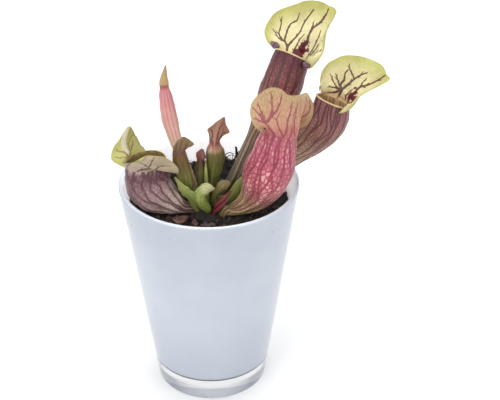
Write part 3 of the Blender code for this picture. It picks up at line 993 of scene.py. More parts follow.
@dataclass(frozen=True)
class Pitcher:
    """A pitcher leaf: a ribbed tube on its stalk, hollow from its mouth down, with its hood and lip."""

    name: str
    node: str
    slot: Slot
    finish: LeafFinish
    spine: Spine
    radii: tuple[tuple[float, float], ...]
    hood: Hood
    lip: float = 0.6
    lip_tint: Colour = (216, 190, 140)
    veins: int = 15
    vein_width: float = 1.0
    rib_count: int = 5
    ribs: float = 0.6
    wing: float = 0.9
    wall: float = 0.8
    cavity: float = 0.6
    collar: float = 1.0
    wing_width: float = 0.14
    vein_height: float = 0.16
    bumps: float = 0.035
    fold_shade: float = 0.7
    columns: int = 240
    rings: int = 110
    rows: int = 96
    seed: int = 1

    def tube_veins(self, at: np.ndarray, angle: np.ndarray, radius: np.ndarray) -> np.ndarray:
        """Return the long veins' strength: each wanders a little up the tube and forks once.

        Args:
            at: Shares of the length.
            angle: The ways round.
            radius: The tube's radius at each share.

        Returns:
            Strength, shares by angles.
        """
        rng = np.random.default_rng(self.seed)
        pitch = 2 * np.pi / self.veins
        base = -np.pi + pitch * (np.arange(self.veins) + 0.5 + rng.uniform(-0.25, 0.25, self.veins))
        phase = rng.uniform(0, 1, self.veins)
        split = rng.uniform(0.4, 0.8, self.veins)
        run = at[:, None]
        wander = 0.06 * np.sin(2 * np.pi * (1.9 * run + phase)) + 0.03 * np.sin(2 * np.pi * (5.1 * run + 2 * phase))
        width = self.vein_width * (0.42 + 0.4 * at)[:, None, None]
        total = np.zeros((len(at), len(angle)))
        for fork in (-0.5, 0.5):
            path = base + wander + fork * pitch * ease(0.0, 0.3, run - split)
            gap = (angle[None, :, None] - path[:, None, :] + np.pi) % (2 * np.pi) - np.pi
            total = np.maximum(total, (1 - ease(0.3, 1.3, np.abs(gap) * radius[:, None, None] / width)).max(axis=2))
        return total

    def tube(self, at: np.ndarray, inset: float) -> tuple[np.ndarray, dict[Value, np.ndarray]]:
        """Return the tube: rings of the given radius square to the spine, ribbed low down, winged in front.

        Args:
            at: Shares of the length.
            inset: How far inside the outer surface.

        Returns:
            Points, shares by columns, and their surface values.
        """
        centre, along, to_back, across = self.spine.frames(at)
        angle = turns(self.columns, -np.pi)
        radius = curve_through(*zip(*self.radii), at)[:, 0]
        vein = self.tube_veins(at, angle, radius)
        run = at[:, None]
        ribbed = np.cos(self.rib_count * angle + 1.3)[None, :]
        fade = (1 - ease(0.3, 0.75, run)) * ease(0.0, 0.1, run)
        front = np.exp(-(((np.abs(angle) - np.pi) / self.wing_width) ** 2))[None, :]
        reach = radius[:, None] - inset
        reach = reach + self.ribs * fade * ribbed * np.minimum(radius / 4, 1.5)[:, None]
        reach = reach + self.wing * front * ease(0.15, 0.4, run) * (1 - ease(0.75, 0.95, run))
        reach = reach + self.vein_height * (0.5 - vein) * ease(0.2, 0.6, run) * (1 - ease(0.93, 1.0, run))
        shape = np.cos(angle)[None, :, None] * to_back[:, None] + np.sin(angle)[None, :, None] * across[:, None]
        points = centre[:, None] + reach[..., None] * shape
        bumpy = self.bumps * Cloud(self.seed + 3, 9.0).at(points) * radius[:, None]
        points = points + (bumpy * ease(0.1, 0.3, run) * (1 - ease(0.9, 1.0, run)))[..., None] * shape
        tilt = self.hood.slope * np.cos(angle) + self.hood.lean * np.sin(angle)
        drop = ease(0.75, 1.0, run) * tilt[None, :]
        points = points + drop[..., None] * along[:, None]
        # Painted shade: the grooves between the ribs darken, and join the veins in the vein value.
        shade = self.fold_shade * fade * np.clip(-ribbed, 0, 1)
        dressed = COLLAR_LOBE * ease(self.collar, 1.0, run) if self.collar < 1 else np.zeros_like(run)
        vein = np.maximum(vein, shade)
        return points, {Value.VEIN_AND_RIB_SHADE: vein, Value.HEIGHT: run, Value.INNER: float(inset > 0), Value.LOBE: dressed}

    def lid(self, root: np.ndarray, neck: np.ndarray) -> tuple[np.ndarray, np.ndarray, np.ndarray]:
        """Return the hood: each column is a quadratic curve from the mouth over a knee to the margin.

        The sheet ripples near its margin, and folds press it in along their lines.

        Args:
            root: The mouth's points under the hood.
            neck: The knee's points over them.

        Returns:
            Points and unit normals, rows by columns, and the rows' shares.
        """
        across = np.linspace(-1, 1, len(root))
        margin = np.asarray(self.hood.margin, float)
        edge = curve_through(shares(margin) * 2 - 1, margin, across)
        up = np.linspace(0, 1, self.rows + 1)[:, None, None]
        sheet = (1 - up) ** 2 * root + 2 * up * (1 - up) * neck + up**2 * edge
        normal = unit(np.cross(np.gradient(sheet, axis=1), np.gradient(sheet, axis=0)))
        rise = up[..., 0]
        ripple = self.hood.wave * rise**2 * np.sin(self.hood.ripples * np.pi * across + 1.7 + 2 * rise)
        ripple = ripple + 0.5 * rise * Cloud(self.seed + 9, 10.0).at(sheet)
        for fold in self.hood.folds:
            line = self.on_sheet(sheet, np.asarray(fold.path))
            ripple = ripple + fold.rise * nearness(sheet, line, fold.width, fold.width) * ease(0.0, 0.3, rise)
        sheet = sheet + ripple[..., None] * normal
        normal = unit(np.cross(np.gradient(sheet, axis=1), np.gradient(sheet, axis=0)))
        return sheet, normal, rise[:, 0]

    @staticmethod
    def on_sheet(sheet: np.ndarray, path: np.ndarray) -> np.ndarray:
        """Return places on a sheet, by straight blends between its four nearest points.

        Args:
            sheet: Points, rows by columns.
            path: Across, -1 to 1, and up, 0 to 1, for each place.

        Returns:
            One point for each place.
        """
        rows, columns = sheet.shape[0] - 1, sheet.shape[1] - 1
        x = np.clip((path[:, 0] + 1) / 2 * columns, 0, columns - 1e-6)
        y = np.clip(path[:, 1] * rows, 0, rows - 1e-6)
        i, j = y.astype(int), x.astype(int)
        v, u = (y - i)[:, None], (x - j)[:, None]
        low = sheet[i, j] * (1 - u) + sheet[i, j + 1] * u
        high = sheet[i + 1, j] * (1 - u) + sheet[i + 1, j + 1] * u
        return low * (1 - v) + high * v

    def hood_veins(self, sheet: np.ndarray, normal: np.ndarray) -> np.ndarray:
        """Return the hood veins' strength: each line and its twigs, which leave it by turns to each side.

        Args:
            sheet: The hood's points.
            normal: The hood's normals.

        Returns:
            Strength, rows by columns.
        """
        rng = np.random.default_rng(self.seed + 40)
        veins = self.hood.veins or self.fan_veins(rng)
        total = np.zeros(sheet.shape[:2])
        for vein in veins:
            path = np.asarray(vein.path)
            fine = curve_through(shares(path), path, np.linspace(0, 1, 5 * len(path)))
            line = self.on_sheet(sheet, fine)
            total = np.maximum(total, nearness(sheet, line, vein.start, vein.end))
            for k in range(vein.twigs):
                spot = (k + rng.uniform(0.6, 1.2)) / (vein.twigs + 0.8)
                at = int(min(spot, 0.97) * (len(fine) - 1))
                way = unit(line[min(at + 1, len(line) - 1)] - line[max(at - 1, 0)])
                over = self.on_sheet(normal, fine[at : at + 1])[0]
                side = np.cross(over, way) * (1 if k % 2 else -1)
                lean = rng.uniform(0.5, 0.9)
                reach = vein.reach * rng.uniform(0.6, 1.2)
                first = line[at] + 0.45 * reach * unit(way + lean * side)
                twig = np.array([line[at], first, first + 0.55 * reach * unit(way + 0.5 * lean * side)])
                strength = nearness(sheet, twig, 0.5 * vein.start, 0.25)
                total = np.maximum(total, 0.75 * strength)
        return total

    def fan_veins(self, rng: np.random.Generator) -> tuple[Vein, ...]:
        """Return veins that fan from the mouth to the margin, for a hood that names none."""
        veins = []
        for base in np.linspace(-0.6, 0.6, self.hood.fan):
            bend = rng.uniform(-0.08, 0.08)
            path = ((base * 0.55, 0.0), (base + bend, 0.35), (base * 1.25, 0.62), (base * 1.35 + bend, 0.86))
            veins.append(Vein(path))
        return tuple(veins)

    def build(self, groups: Groups) -> list[bpy.types.Object]:
        """Build the leaf, its lip and its hood's ears.

        Args:
            groups: The shared shader groups.

        Returns:
            The leaf's body, then its lip and ears.
        """
        shell = Shell()
        at = np.linspace(0, 1, self.rings) ** 0.9
        outer, outer_values = self.tube(at, 0.0)
        deep = np.linspace(self.cavity, 1, self.rings // 3)
        inner, inner_values = self.tube(deep, self.wall)
        angle = turns(self.columns, -np.pi)
        length = self.spine.length()
        period = 2 * np.pi * TUBE_MAP
        tube_out = shell.add(outer, outer_values)
        tube_in = shell.add(inner, inner_values)
        shell.skin(tube_out, stacked(TUBE_MAP * angle, length * at[:, None]), period)
        shell.skin(tube_in, stacked(TUBE_MAP * angle, length * deep[:, None]), period, flip=True)
        shell.cap(tube_out[0], outer[0].mean(axis=0), flip=True)
        shell.cap(tube_in[0], inner[0].mean(axis=0))

        half = round(self.hood.spread / 360 * self.columns)
        chosen = np.arange(self.columns // 2 - half, self.columns // 2 + half + 1)
        dense = np.arange(2 * len(chosen) - 1) / 2
        root = curve_through(np.arange(len(chosen)), outer[-1, chosen], dense)
        _, along, _, _ = self.spine.frames(np.array([1.0]))
        lean = root - outer[-1].mean(axis=0)
        lean = self.hood.flare * unit(lean - (lean @ along[0])[:, None] * along[0])
        sheet, normal, rise = self.lid(root, root + self.hood.neck * along[0] + lean)
        vein = self.hood_veins(sheet, normal)
        inside = sheet - self.wall * (1 - 0.45 * rise)[:, None, None] * normal
        one = np.ones_like(vein)
        lobe = np.maximum(rise, COLLAR_LOBE if self.collar < 1 else 0.0)[:, None] * one
        top = {Value.VEIN_AND_RIB_SHADE: vein, Value.LOBE: lobe, Value.HEIGHT: one, Value.EDGE: ease(0.7, 1.04, rise)[:, None] * one}
        under = top | {Value.INNER: one, Value.BLOTCH_AND_HIGHLIGHT: self.stain_and_highlight_mask(sheet)}
        run = np.linalg.norm(np.diff(sheet, axis=1), axis=2)
        run = np.concatenate([np.zeros((len(rise), 1)), np.cumsum(run, axis=1)], axis=1)
        run = run - run[:, [run.shape[1] // 2]]
        climb = np.linalg.norm(np.diff(sheet, axis=0), axis=2).mean(axis=1)
        climb = length + np.concatenate([[0.0], np.cumsum(climb)])
        uv = stacked(run, climb[:, None])
        sides = []
        for mouth, grid, values, flip in ((tube_out, sheet, top, False), (tube_in, inside, under, True)):
            numbers = shell.add(grid[1:], {kind: block[1:] for kind, block in values.items()})
            shell.skin(numbers, uv[1:], flip=flip)
            self.stitch(shell, mouth[-1, chosen], numbers[0], uv[0], uv[1], flip)
            sides.append((mouth[-1], numbers))
        rims = [self.rim(mouth, numbers, chosen) for mouth, numbers in sides]
        shell.skin(np.stack(rims), np.zeros((2, len(rims[0]), 2)), 0.0, flip=True)
        body = shell.build(self.name, self.finish.material(groups))
        places = np.concatenate(shell.points)
        return [body, self.build_lip(places[rims[0]], places[rims[1]], groups), *self.build_curls(groups)]

    def stain_and_highlight_mask(self, sheet: np.ndarray) -> np.ndarray:
        """Return where the hood is marked: dark staining at the back of the mouth, and on the left leaf a painted
        highlight along its fold; near its line, broken up by noise.
        """
        if not self.hood.stain_and_highlight:
            return np.zeros(sheet.shape[:2])
        path = self.on_sheet(sheet, np.asarray(self.hood.stain_and_highlight))
        near = nearness(sheet, path, self.hood.stain_and_highlight_size, self.hood.stain_and_highlight_size)
        speckle = self.hood.stain_and_highlight_break * Cloud(self.seed + 20, 1.8).at(sheet)
        return ease(0.25, 0.8, near + speckle * (near > 0.01))

    @staticmethod
    def stitch(
        shell: Shell, low: np.ndarray, high: np.ndarray, uv_low: np.ndarray, uv_high: np.ndarray, flip: bool
    ) -> None:
        """Join a row to one of twice its spacing, with three triangles for each step of the coarser row.

        Args:
            shell: The mesh.
            low: The coarser row's numbers.
            high: The finer row's numbers.
            uv_low: The coarser row's map, at the finer row's places.
            uv_high: The finer row's map.
            flip: Whether the triangles face the other way.
        """
        step = np.arange(len(low) - 1)
        a, b = low[step], low[step + 1]
        c, d, e = high[2 * step], high[2 * step + 1], high[2 * step + 2]
        ua, ub = uv_low[2 * step], uv_low[2 * step + 2]
        uc, ud, ue = uv_high[2 * step], uv_high[2 * step + 1], uv_high[2 * step + 2]
        for corners, maps in (((a, b, d), (ua, ub, ud)), ((a, d, c), (ua, ud, uc)), ((b, e, d), (ub, ue, ud))):
            order = slice(None, None, -1) if flip else slice(None)
            shell.faces.extend(np.stack(corners[order], axis=1).tolist())
            shell.uvs.append(np.stack(maps[order], axis=1).reshape(-1, 2))

    @staticmethod
    def rim(mouth: np.ndarray, hood: np.ndarray, chosen: np.ndarray) -> np.ndarray:
        """Return the numbers round the leaf's free edge: up one side of the hood, over, down, round the front.

        Args:
            mouth: The mouth ring's numbers.
            hood: The hood's numbers, rows by columns.
            chosen: The mouth's columns under the hood.

        Returns:
            The numbers in order.
        """
        columns = len(mouth)
        front = mouth[(chosen[-1] + np.arange(1, columns - len(chosen) + 1)) % columns]
        left = np.concatenate([[mouth[chosen[0]]], hood[:, 0]])
        right = np.concatenate([hood[-2::-1, -1], [mouth[chosen[-1] % columns]]])
        return np.concatenate([left, hood[-1, 1:], right, front])

    def build_lip(self, outer: np.ndarray, inner: np.ndarray, groups: Groups) -> bpy.types.Object:
        """Build the rolled lip: a strand along the mouth's front and a little way up both sides.

        Args:
            outer: The free edge's outer points.
            inner: The free edge's inner points.
            groups: The shared shader groups.

        Returns:
            The object.
        """
        columns = 2 * round(self.hood.spread / 360 * self.columns) + 1
        front = self.columns - columns
        climb = self.rows // 10
        count = len(outer)
        order = np.arange(count - front - 1 - climb, count + climb + 1) % count
        line = 0.5 * (outer + inner)[order]
        middle = line.mean(axis=0)
        share = np.linspace(0, 1, len(line))
        swell = np.sin(np.pi * np.clip(share, 0.015, 0.985)) ** 0.4
        line = line + 0.35 * self.lip * swell[:, None] * unit(line - middle)
        shell = Shell()
        strand(shell, line, self.lip * (0.35 + 0.65 * swell) * (1 + 0.12 * np.sin(19 * share)), 10)
        light = tuple(min(255, round(1.14 * part)) for part in self.lip_tint)
        pale = EarthFinish(self.name + "_lip_skin", self.lip_tint, light, 0.45, 0.004, 0.0007, 0.00005)
        return shell.build(self.name + "_lip", pale.material(groups))

    def build_curls(self, groups: Groups) -> list[bpy.types.Object]:
        """Build the hood's rolled ears: short thick strands that swell in the middle.

        Args:
            groups: The shared shader groups.

        Returns:
            The object, or nothing where the hood has no ears.
        """
        if not self.hood.curls:
            return []
        shell = Shell()
        share = np.linspace(0, 1, 20)
        swell = np.sin(np.pi * np.clip(share, 0.04, 0.96)) ** 0.5
        for path, radius in self.hood.curls:
            path = np.asarray(path, float)
            line = curve_through(shares(path), path, share)
            strand(shell, line, radius * swell * (1 + 0.08 * np.sin(17 * share)), 18)
        plum = EarthFinish(self.name + "_curl_skin", (84, 48, 66), (150, 116, 128), 0.5, 0.003, 0.0012, 0.0001)
        return [shell.build(self.name + "_curls", plum.material(groups))]


@dataclass(frozen=True)
class Blade:
    """A leaf with no mouth: an oval section along a curved line, ridged, with a groove down its front."""

    name: str
    node: str | None
    slot: Slot
    finish: LeafFinish
    spine: Spine
    widths: tuple[tuple[float, float, float], ...]
    groove: float = 0.35
    ridges: int = 9
    ridge_height: float = 0.035
    keel: float = 0.12
    bumps: float = 0.05
    columns: int = 72
    rings: int = 90
    seed: int = 2

    def build(self, groups: Groups) -> bpy.types.Object:
        """Build the leaf: an ellipse pressed in at its front and drawn out at its back, scaled along the line.

        Args:
            groups: The shared shader groups.

        Returns:
            The object.
        """
        at = np.linspace(0, 1, self.rings)
        centre, _, to_back, across = self.spine.frames(at)
        knots, wide, deep = zip(*self.widths)
        wide = curve_through(knots, wide, at)
        deep = curve_through(knots, deep, at)
        angle = turns(self.columns, -np.pi)
        run = at[:, None]
        rng = np.random.default_rng(self.seed)
        ridge = np.cos(self.ridges * angle + rng.uniform(0, 6))[None, :]
        front = np.exp(-(((np.abs(angle) - np.pi) / 0.5) ** 2))[None, :]
        back = np.exp(-((angle / 0.3) ** 2))[None, :]
        live = ease(0.08, 0.3, run) * (1 - ease(0.8, 1.0, run))
        reach = 1 + live * (self.ridge_height * ridge - self.groove * front + self.keel * back)
        x = wide * np.sin(angle)[None, :] * reach
        y = deep * np.cos(angle)[None, :] * reach
        points = centre[:, None] + x[..., None] * across[:, None] + y[..., None] * to_back[:, None]
        shape = unit(points - centre[:, None])
        bumpy = self.bumps * Cloud(self.seed + 3, 6.0).at(points) * np.minimum(wide, 5) * live
        points = points + bumpy[..., None] * shape
        girth = 0.8 * wide.max()
        uv = stacked(girth * angle, self.spine.length() * run)
        tip = centre[-1] + 0.5 * deep[-1] * unit(centre[-1] - centre[-2])
        # Painted shade: the valleys between the ridges darken, carried in the vein value.
        values = {Value.HEIGHT: run, Value.VEIN_AND_RIB_SHADE: ease(0.55, 0.95, -ridge) * live}
        shell = Shell()
        shell.barrel(points, uv, 2 * np.pi * girth, (centre[0], tip), values)
        return shell.build(self.name, self.finish.material(groups))


# --------------------------------------------------------------------------- pot and potting mix


def arc(centre: tuple[float, float], radius: float, start: float, end: float, count: int = 14) -> np.ndarray:
    """Return points of a profile on an arc, its angles in degrees."""
    turn = np.radians(np.linspace(start, end, count))
    return np.stack([centre[0] + radius * np.cos(turn), centre[1] + radius * np.sin(turn)], axis=1)


@dataclass(frozen=True)
class Pot:
    """The tapered glass: flat foot, thick clear base, rounded lip, and lacquer over its inside."""

    height: float = 154.0
    top_radius: float = 60.0
    foot_radius: float = 37.2
    wall: float = 3.2
    base: float = 15.0
    foot_round: float = 3.0
    corner: float = 5.0
    pole: float = 0.8
    sides: int = 192
    coat: float = 0.3
    coat_gap: float = -0.05
    coat_top: float = 152.4
    lip_fill: float = 150.5
    lip_skin: tuple[tuple[float, float], ...] = ((0.4, 0.9), (1.2, 0.25))

    @property
    def tilt(self) -> float:
        """Return how far the wall leans out, in degrees."""
        return float(np.degrees(np.arctan((self.top_radius - self.foot_radius) / self.height)))

    def outside(self, height: float) -> float:
        """Return the outer radius at a height, on a straight taper."""
        return self.foot_radius + (self.top_radius - self.foot_radius) * height / self.height

    def inside(self, height: float) -> float:
        """Return the inner radius at a height, on the straight wall between the floor's corner and the lip."""
        tilt = np.radians(self.tilt)
        lip = self.wall / 2
        low_out = self.outside(self.base) - self.wall - self.corner * (1 - np.cos(tilt))
        low_up = self.base + self.corner * (1 - np.sin(tilt))
        high_out = self.top_radius - lip * (1 + np.cos(tilt))
        high_up = self.height - lip * (1 - np.sin(tilt))
        return low_out + (high_out - low_out) * (height - low_up) / (high_up - low_up)

    def glass(self, material: bpy.types.Material) -> bpy.types.Object:
        """Build the glass: its half outline, turned, runs out along the foot, up, over the lip and down inside.

        Args:
            material: The glass.

        Returns:
            The object.
        """
        lip = self.wall / 2
        foot = self.foot_round
        wall_out = self.outside(foot) - foot
        wall_in = self.outside(self.base) - self.wall - self.corner
        profile = np.vstack([
            [(self.pole, 0.0), (wall_out - 1.0, 0.0)],
            arc((wall_out, foot), foot, -90, -self.tilt),
            arc((self.top_radius - lip, self.height - lip), lip, -self.tilt, 180 - self.tilt),
            arc((wall_in, self.base + self.corner), self.corner, -self.tilt, -90),
            [(wall_in - 1.0, self.base), (self.pole, self.base)],
        ])
        return turned("pot_glass", profile, self.sides, material)

    def lacquer(self, material: bpy.types.Material) -> bpy.types.Object:
        """Build the coat of lacquer: a thin closed skin on the glass's inner wall and floor, that fills its lip.

        Args:
            material: The lacquer.

        Returns:
            The object.
        """
        layers = []
        for gap in (self.coat_gap, self.coat_gap + self.coat):
            middle = (self.outside(self.base) - self.wall - self.corner, self.base + self.corner)
            layers.append(np.vstack([
                [(self.pole, self.base + gap), (middle[0] - 1.0, self.base + gap)],
                arc(middle, self.corner - gap, -90, -self.tilt),
                [(self.inside(self.coat_top) - gap, self.coat_top)],
            ]))
        lip_low = (self.inside(self.lip_fill) - self.coat_gap, self.lip_fill)
        lip_out = [(self.top_radius - out, self.height - down) for out, down in self.lip_skin]
        layers[0] = np.vstack([layers[0][:-1], [lip_low], lip_out])
        profile = np.vstack([layers[0], layers[1][::-1]])
        lining = np.repeat([0.0, 1.0], [len(layers[0]), len(layers[1])])[:, None]
        return turned("pot_lacquer", profile, self.sides, material, {Value.INNER: lining})


@dataclass(frozen=True)
class PottingMix:
    """The potting mix: a lumpy bed that fills the glass, loose crumbs on it, and dark fibres."""

    pot: Pot
    top: float = 140.6
    under: float = 20.0
    dish: float = 2.6
    dish_radius: float = 24.0
    mound: float = 4.6
    mound_centre: tuple[float, float] = (12.0, 42.0)
    mound_width: float = 9.0
    fall: float = 4.5
    clods: Cloud = Cloud(61, 9.0, 2)
    clod_height: float = 1.5
    ridges: Cloud = Cloud(62, 3.4, 3)
    ridge_height: float = 1.3
    grit: Cloud = Cloud(63, 1.1, 2)
    grit_height: float = 0.45
    sink: float = 0.6
    rows: int = 150
    sides: int = 320
    crumbs: int = 2600
    crumb_size: float = 0.35
    crumb_spread: float = 1.7
    crumb_lift: float = 0.25
    crumb_seed: int = 71
    fibres: int = 260
    fibre_length: tuple[float, float] = (3, 13)
    fibre_radius: tuple[float, float] = (0.1, 0.28)
    fibre_seed: int = 83

    def surface(self, x: np.ndarray, y: np.ndarray) -> np.ndarray:
        """Return the bed's height: level, dished round the crown, heaped behind it, falling at the wall, with clods.

        Args:
            x: Places across.
            y: Places from front to back.

        Returns:
            The heights.
        """
        flat = stacked(x, y, 0.0)
        from_crown = np.hypot(x - CROWN.centre[0], y - CROWN.centre[1])
        level = self.top - self.dish * (1 - ease(0.45, 1.0, from_crown / self.dish_radius))
        level = level - self.fall * ease(0.86, 1.0, np.hypot(x, y) / self.pot.inside(self.top))
        from_mound = np.hypot(x - self.mound_centre[0], y - self.mound_centre[1]) / self.mound_width
        level = level + self.mound * np.exp(-0.5 * from_mound**2)
        lumps = self.clod_height * self.clods.at(flat) + self.ridge_height * np.abs(self.ridges.at(flat))
        return level + (lumps + self.grit_height * self.grit.at(flat)) - self.sink

    def bed(self, material: bpy.types.Material) -> bpy.types.Object:
        """Build the bed: rings of the surface, then the wall of the plug below it.

        Args:
            material: The mix.

        Returns:
            The object.
        """
        turn = turns(self.sides)
        rim = self.pot.inside(self.top - 6) - 0.6
        reach = rim * np.linspace(0.01, 1, self.rows)[:, None] ** 0.9
        x, y = reach * np.cos(turn), reach * np.sin(turn)
        surface = stacked(x, y, self.surface(x, y))
        low = np.linspace(self.top - 12, self.under, 6)[:, None]
        side = self.pot.inside(low) - 0.7 - np.where(low < self.under + 1, 4.0, 0.0)
        plug = stacked(side * np.cos(turn), side * np.sin(turn), low)
        points = np.vstack([surface, plug])
        uv = stacked(50 * turn, 2.0 * np.arange(len(points))[:, None])
        shell = Shell()
        shell.barrel(points, uv, 100 * np.pi, (surface[0].mean(axis=0), (0, 0, self.under)), flip=True)
        return shell.build("soil_bed", material)

    def scatter(self, rng: np.random.Generator, count: int, rim: float) -> np.ndarray:
        """Return random places on the bed's surface, inside the wall.

        Args:
            rng: The random source.
            count: How many.
            rim: How near the wall they may come, as a share of its radius.

        Returns:
            The places.
        """
        reach = self.pot.inside(self.top) * rim * np.sqrt(rng.uniform(0, 1, count))
        turn = rng.uniform(0, 2 * np.pi, count)
        x, y = reach * np.cos(turn), reach * np.sin(turn)
        return stacked(x, y, self.surface(x, y))

    def loose_crumbs(self, material: bpy.types.Material) -> bpy.types.Object:
        """Build the crumbs: twenty-sided lumps, each squashed and turned its own way, lying on the bed.

        Args:
            material: The mix.

        Returns:
            The object.
        """
        rng = np.random.default_rng(self.crumb_seed)
        golden = (1 + 5**0.5) / 2
        lump = unit(np.array([
            (-1, golden, 0), (1, golden, 0), (-1, -golden, 0), (1, -golden, 0), (0, -1, golden), (0, 1, golden),
            (0, -1, -golden), (0, 1, -golden), (golden, 0, -1), (golden, 0, 1), (-golden, 0, -1), (-golden, 0, 1),
        ], float))
        faces = np.array([
            (0, 11, 5), (0, 5, 1), (0, 1, 7), (0, 7, 10), (0, 10, 11), (1, 5, 9), (5, 11, 4), (11, 10, 2),
            (10, 7, 6), (7, 1, 8), (3, 9, 4), (3, 4, 2), (3, 2, 6), (3, 6, 8), (3, 8, 9), (4, 9, 5), (2, 4, 11),
            (6, 2, 10), (8, 6, 7), (9, 8, 1),
        ])
        places = self.scatter(rng, self.crumbs, 0.97)
        size = self.crumb_size + self.crumb_spread * rng.uniform(0, 1, self.crumbs) ** 4
        squash = rng.uniform(0.45, 1.2, (self.crumbs, 1, 3)) * size[:, None, None]
        jitter = rng.uniform(0.75, 1.25, (self.crumbs, 12, 1))
        spin = np.linalg.qr(rng.normal(size=(self.crumbs, 3, 3)))[0]
        spin *= np.sign(np.linalg.det(spin))[:, None, None]
        body = np.einsum("nij,nkj->nki", spin, lump[None] * jitter * squash)
        points = body + places[:, None] + np.array([0.0, 0.0, self.crumb_lift])
        shell = Shell()
        shell.add(points)
        shell.faces = (faces[None] + 12 * np.arange(self.crumbs)[:, None, None]).reshape(-1, 3).tolist()
        shell.uvs.append(np.zeros((3 * len(shell.faces), 2)))
        return shell.build("soil_crumbs", material)

    def loose_fibres(self, material: bpy.types.Material) -> bpy.types.Object:
        """Build the coir: thin bent strands that rise out of the bed, and the thick pieces.

        Args:
            material: Their finish.

        Returns:
            The object.
        """
        rng = np.random.default_rng(self.fibre_seed)
        shell = Shell()
        along = np.linspace(-0.5, 0.5, 7)[:, None]
        for place in self.scatter(rng, self.fibres, 0.93):
            turn = rng.uniform(0, 2 * np.pi)
            way = np.array([np.cos(turn), np.sin(turn), rng.uniform(-0.15, 0.35)])
            side = np.array([-way[1], way[0], 0.0])
            length = rng.uniform(*self.fibre_length)
            bend = rng.uniform(-0.25, 0.25) * length
            line = place + length * along * way + bend * (4 * along**2) * side
            line = line + np.array([0, 0, 0.5]) * (1 - 3 * along**2)
            strand(shell, line, np.full(len(along), rng.uniform(*self.fibre_radius)), 4)
        for path, radius in TWIGS:
            path = np.asarray(path, float)
            share = np.linspace(0, 1, 24)
            fine = curve_through(shares(path), path, share)
            fine = fine + 0.25 * radius * rng.normal(size=fine.shape)
            strand(shell, fine, radius * (1.1 - 0.6 * share) * rng.uniform(0.8, 1.2, len(share)), 7)
        return shell.build("soil_fibres", material)


@dataclass(frozen=True)
class Scrap:
    """A flat piece that lies on the mix: a curled plate with a torn outline."""

    name: str
    node: str
    slot: Slot
    finish: EarthFinish
    centre: Point
    size: tuple[float, float, float]
    turn: float
    tilt: float = 0.0
    points: int = 5
    ragged: float = 0.2
    curl: float = 0.12
    sides: int = 96
    rows: int = 14
    seed: int = 3

    def build(self, groups: Groups) -> bpy.types.Object:
        """Build the plate: rings grow to the torn outline on top and come back underneath.

        Args:
            groups: The shared shader groups.

        Returns:
            The object.
        """
        rng = np.random.default_rng(self.seed)
        angle = turns(self.sides)
        torn = 1 + self.ragged * np.cos(self.points * angle + rng.uniform(0, 6))
        for wave in (7, 11, 17):
            torn = torn + 0.25 * self.ragged * rng.uniform(0.3, 1) * np.cos(wave * angle + rng.uniform(0, 6))
        share = np.concatenate([np.linspace(0.05, 1, self.rows), np.linspace(1, 0.05, self.rows)])[:, None]
        half = np.concatenate([-np.ones(self.rows), np.ones(self.rows)])[:, None]
        x = 0.5 * self.size[0] * share * torn * np.cos(angle)
        y = 0.5 * self.size[1] * share * torn * np.sin(angle)
        lift = self.curl * self.size[0] * share**2 * np.cos(2 * angle + 0.6)
        lift = lift + 0.3 * Cloud(self.seed, 2.4).at(stacked(x, y, 0.0))
        thick = 0.5 * self.size[2] * half * (1 - 0.75 * share**4)
        turn, lean = np.radians(self.turn), np.tan(np.radians(self.tilt))
        spun_x, spun_y = x * np.cos(turn) - y * np.sin(turn), x * np.sin(turn) + y * np.cos(turn)
        points = np.array(self.centre) + stacked(spun_x, spun_y, lift + thick + lean * y)
        shell = Shell()
        shell.barrel(points, stacked(x, y + 20 * (half + 1)), 0.0)
        return shell.build(self.name, self.finish.material(groups))


# --------------------------------------------------------------------------- the plant's own leaves


TALL_SKIN = LeafFinish(
    "tall_leaf_skin",
    ground=(
        (0.0, (106, 98, 78)), (0.4, (146, 136, 120)), (0.62, (146, 98, 76)), (0.82, (116, 58, 60)),
        (1.0, (88, 42, 54)),
    ),
    cells=(
        (0.0, (150, 146, 104)), (0.45, (174, 160, 116)), (0.65, (200, 156, 118)), (0.8, (168, 106, 100)),
        (1.0, (118, 66, 74)),
    ),
    vein=((0.0, (62, 54, 38)), (0.5, (86, 46, 40)), (1.0, (70, 28, 38))), inside=(126, 92, 74),
    hood_out=(190, 178, 122), hood_out_edge=(204, 200, 132), hood_low=(222, 204, 146), hood_in=(244, 236, 184),
    hood_in_edge=(186, 188, 96), hood_vein=(80, 12, 26), hood_vein_out=(128, 66, 78), blotch_and_highlight=(106, 26, 44),
)
RIGHT_SKIN = replace(
    TALL_SKIN, name="right_leaf_skin",
    ground=(
        (0.0, (110, 98, 66)), (0.45, (176, 156, 126)), (0.7, (138, 100, 86)), (0.9, (142, 92, 94)),
        (1.0, (134, 86, 88)),
    ),
    cells=((0.0, (156, 150, 104)), (0.5, (204, 186, 150)), (0.78, (178, 132, 114)), (1.0, (150, 102, 98))),
    inside=(214, 184, 136), hood_low=(206, 178, 132), hood_in=(240, 231, 180), hood_in_edge=(198, 202, 118),
    hood_vein=(82, 20, 36),
)
FRONT_SKIN = LeafFinish(
    "front_leaf_skin",
    ground=(
        (0.0, (164, 156, 98)), (0.27, (184, 162, 118)), (0.43, (158, 106, 102)), (0.6, (172, 76, 94)),
        (0.85, (182, 90, 114)), (1.0, (166, 92, 104)),
    ),
    cells=(
        (0.0, (196, 182, 132)), (0.28, (220, 194, 158)), (0.46, (224, 172, 162)), (0.8, (232, 172, 172)),
        (1.0, (212, 156, 146)),
    ),
    vein=((0.0, (104, 70, 56)), (0.35, (128, 50, 62)), (0.8, (134, 36, 60)), (1.0, (146, 56, 74))),
    inside=(140, 96, 84), hood_out=(194, 152, 122), hood_out_edge=(192, 168, 124), hood_out_low=(196, 118, 112),
    hood_low=(150, 110, 92), hood_in=(186, 160, 126), hood_in_edge=(196, 176, 130), hood_vein_out=(142, 60, 76),
    hood_net=0.4, cell_size=0.0021, stretch=1.6, cell_strength=0.85,
)
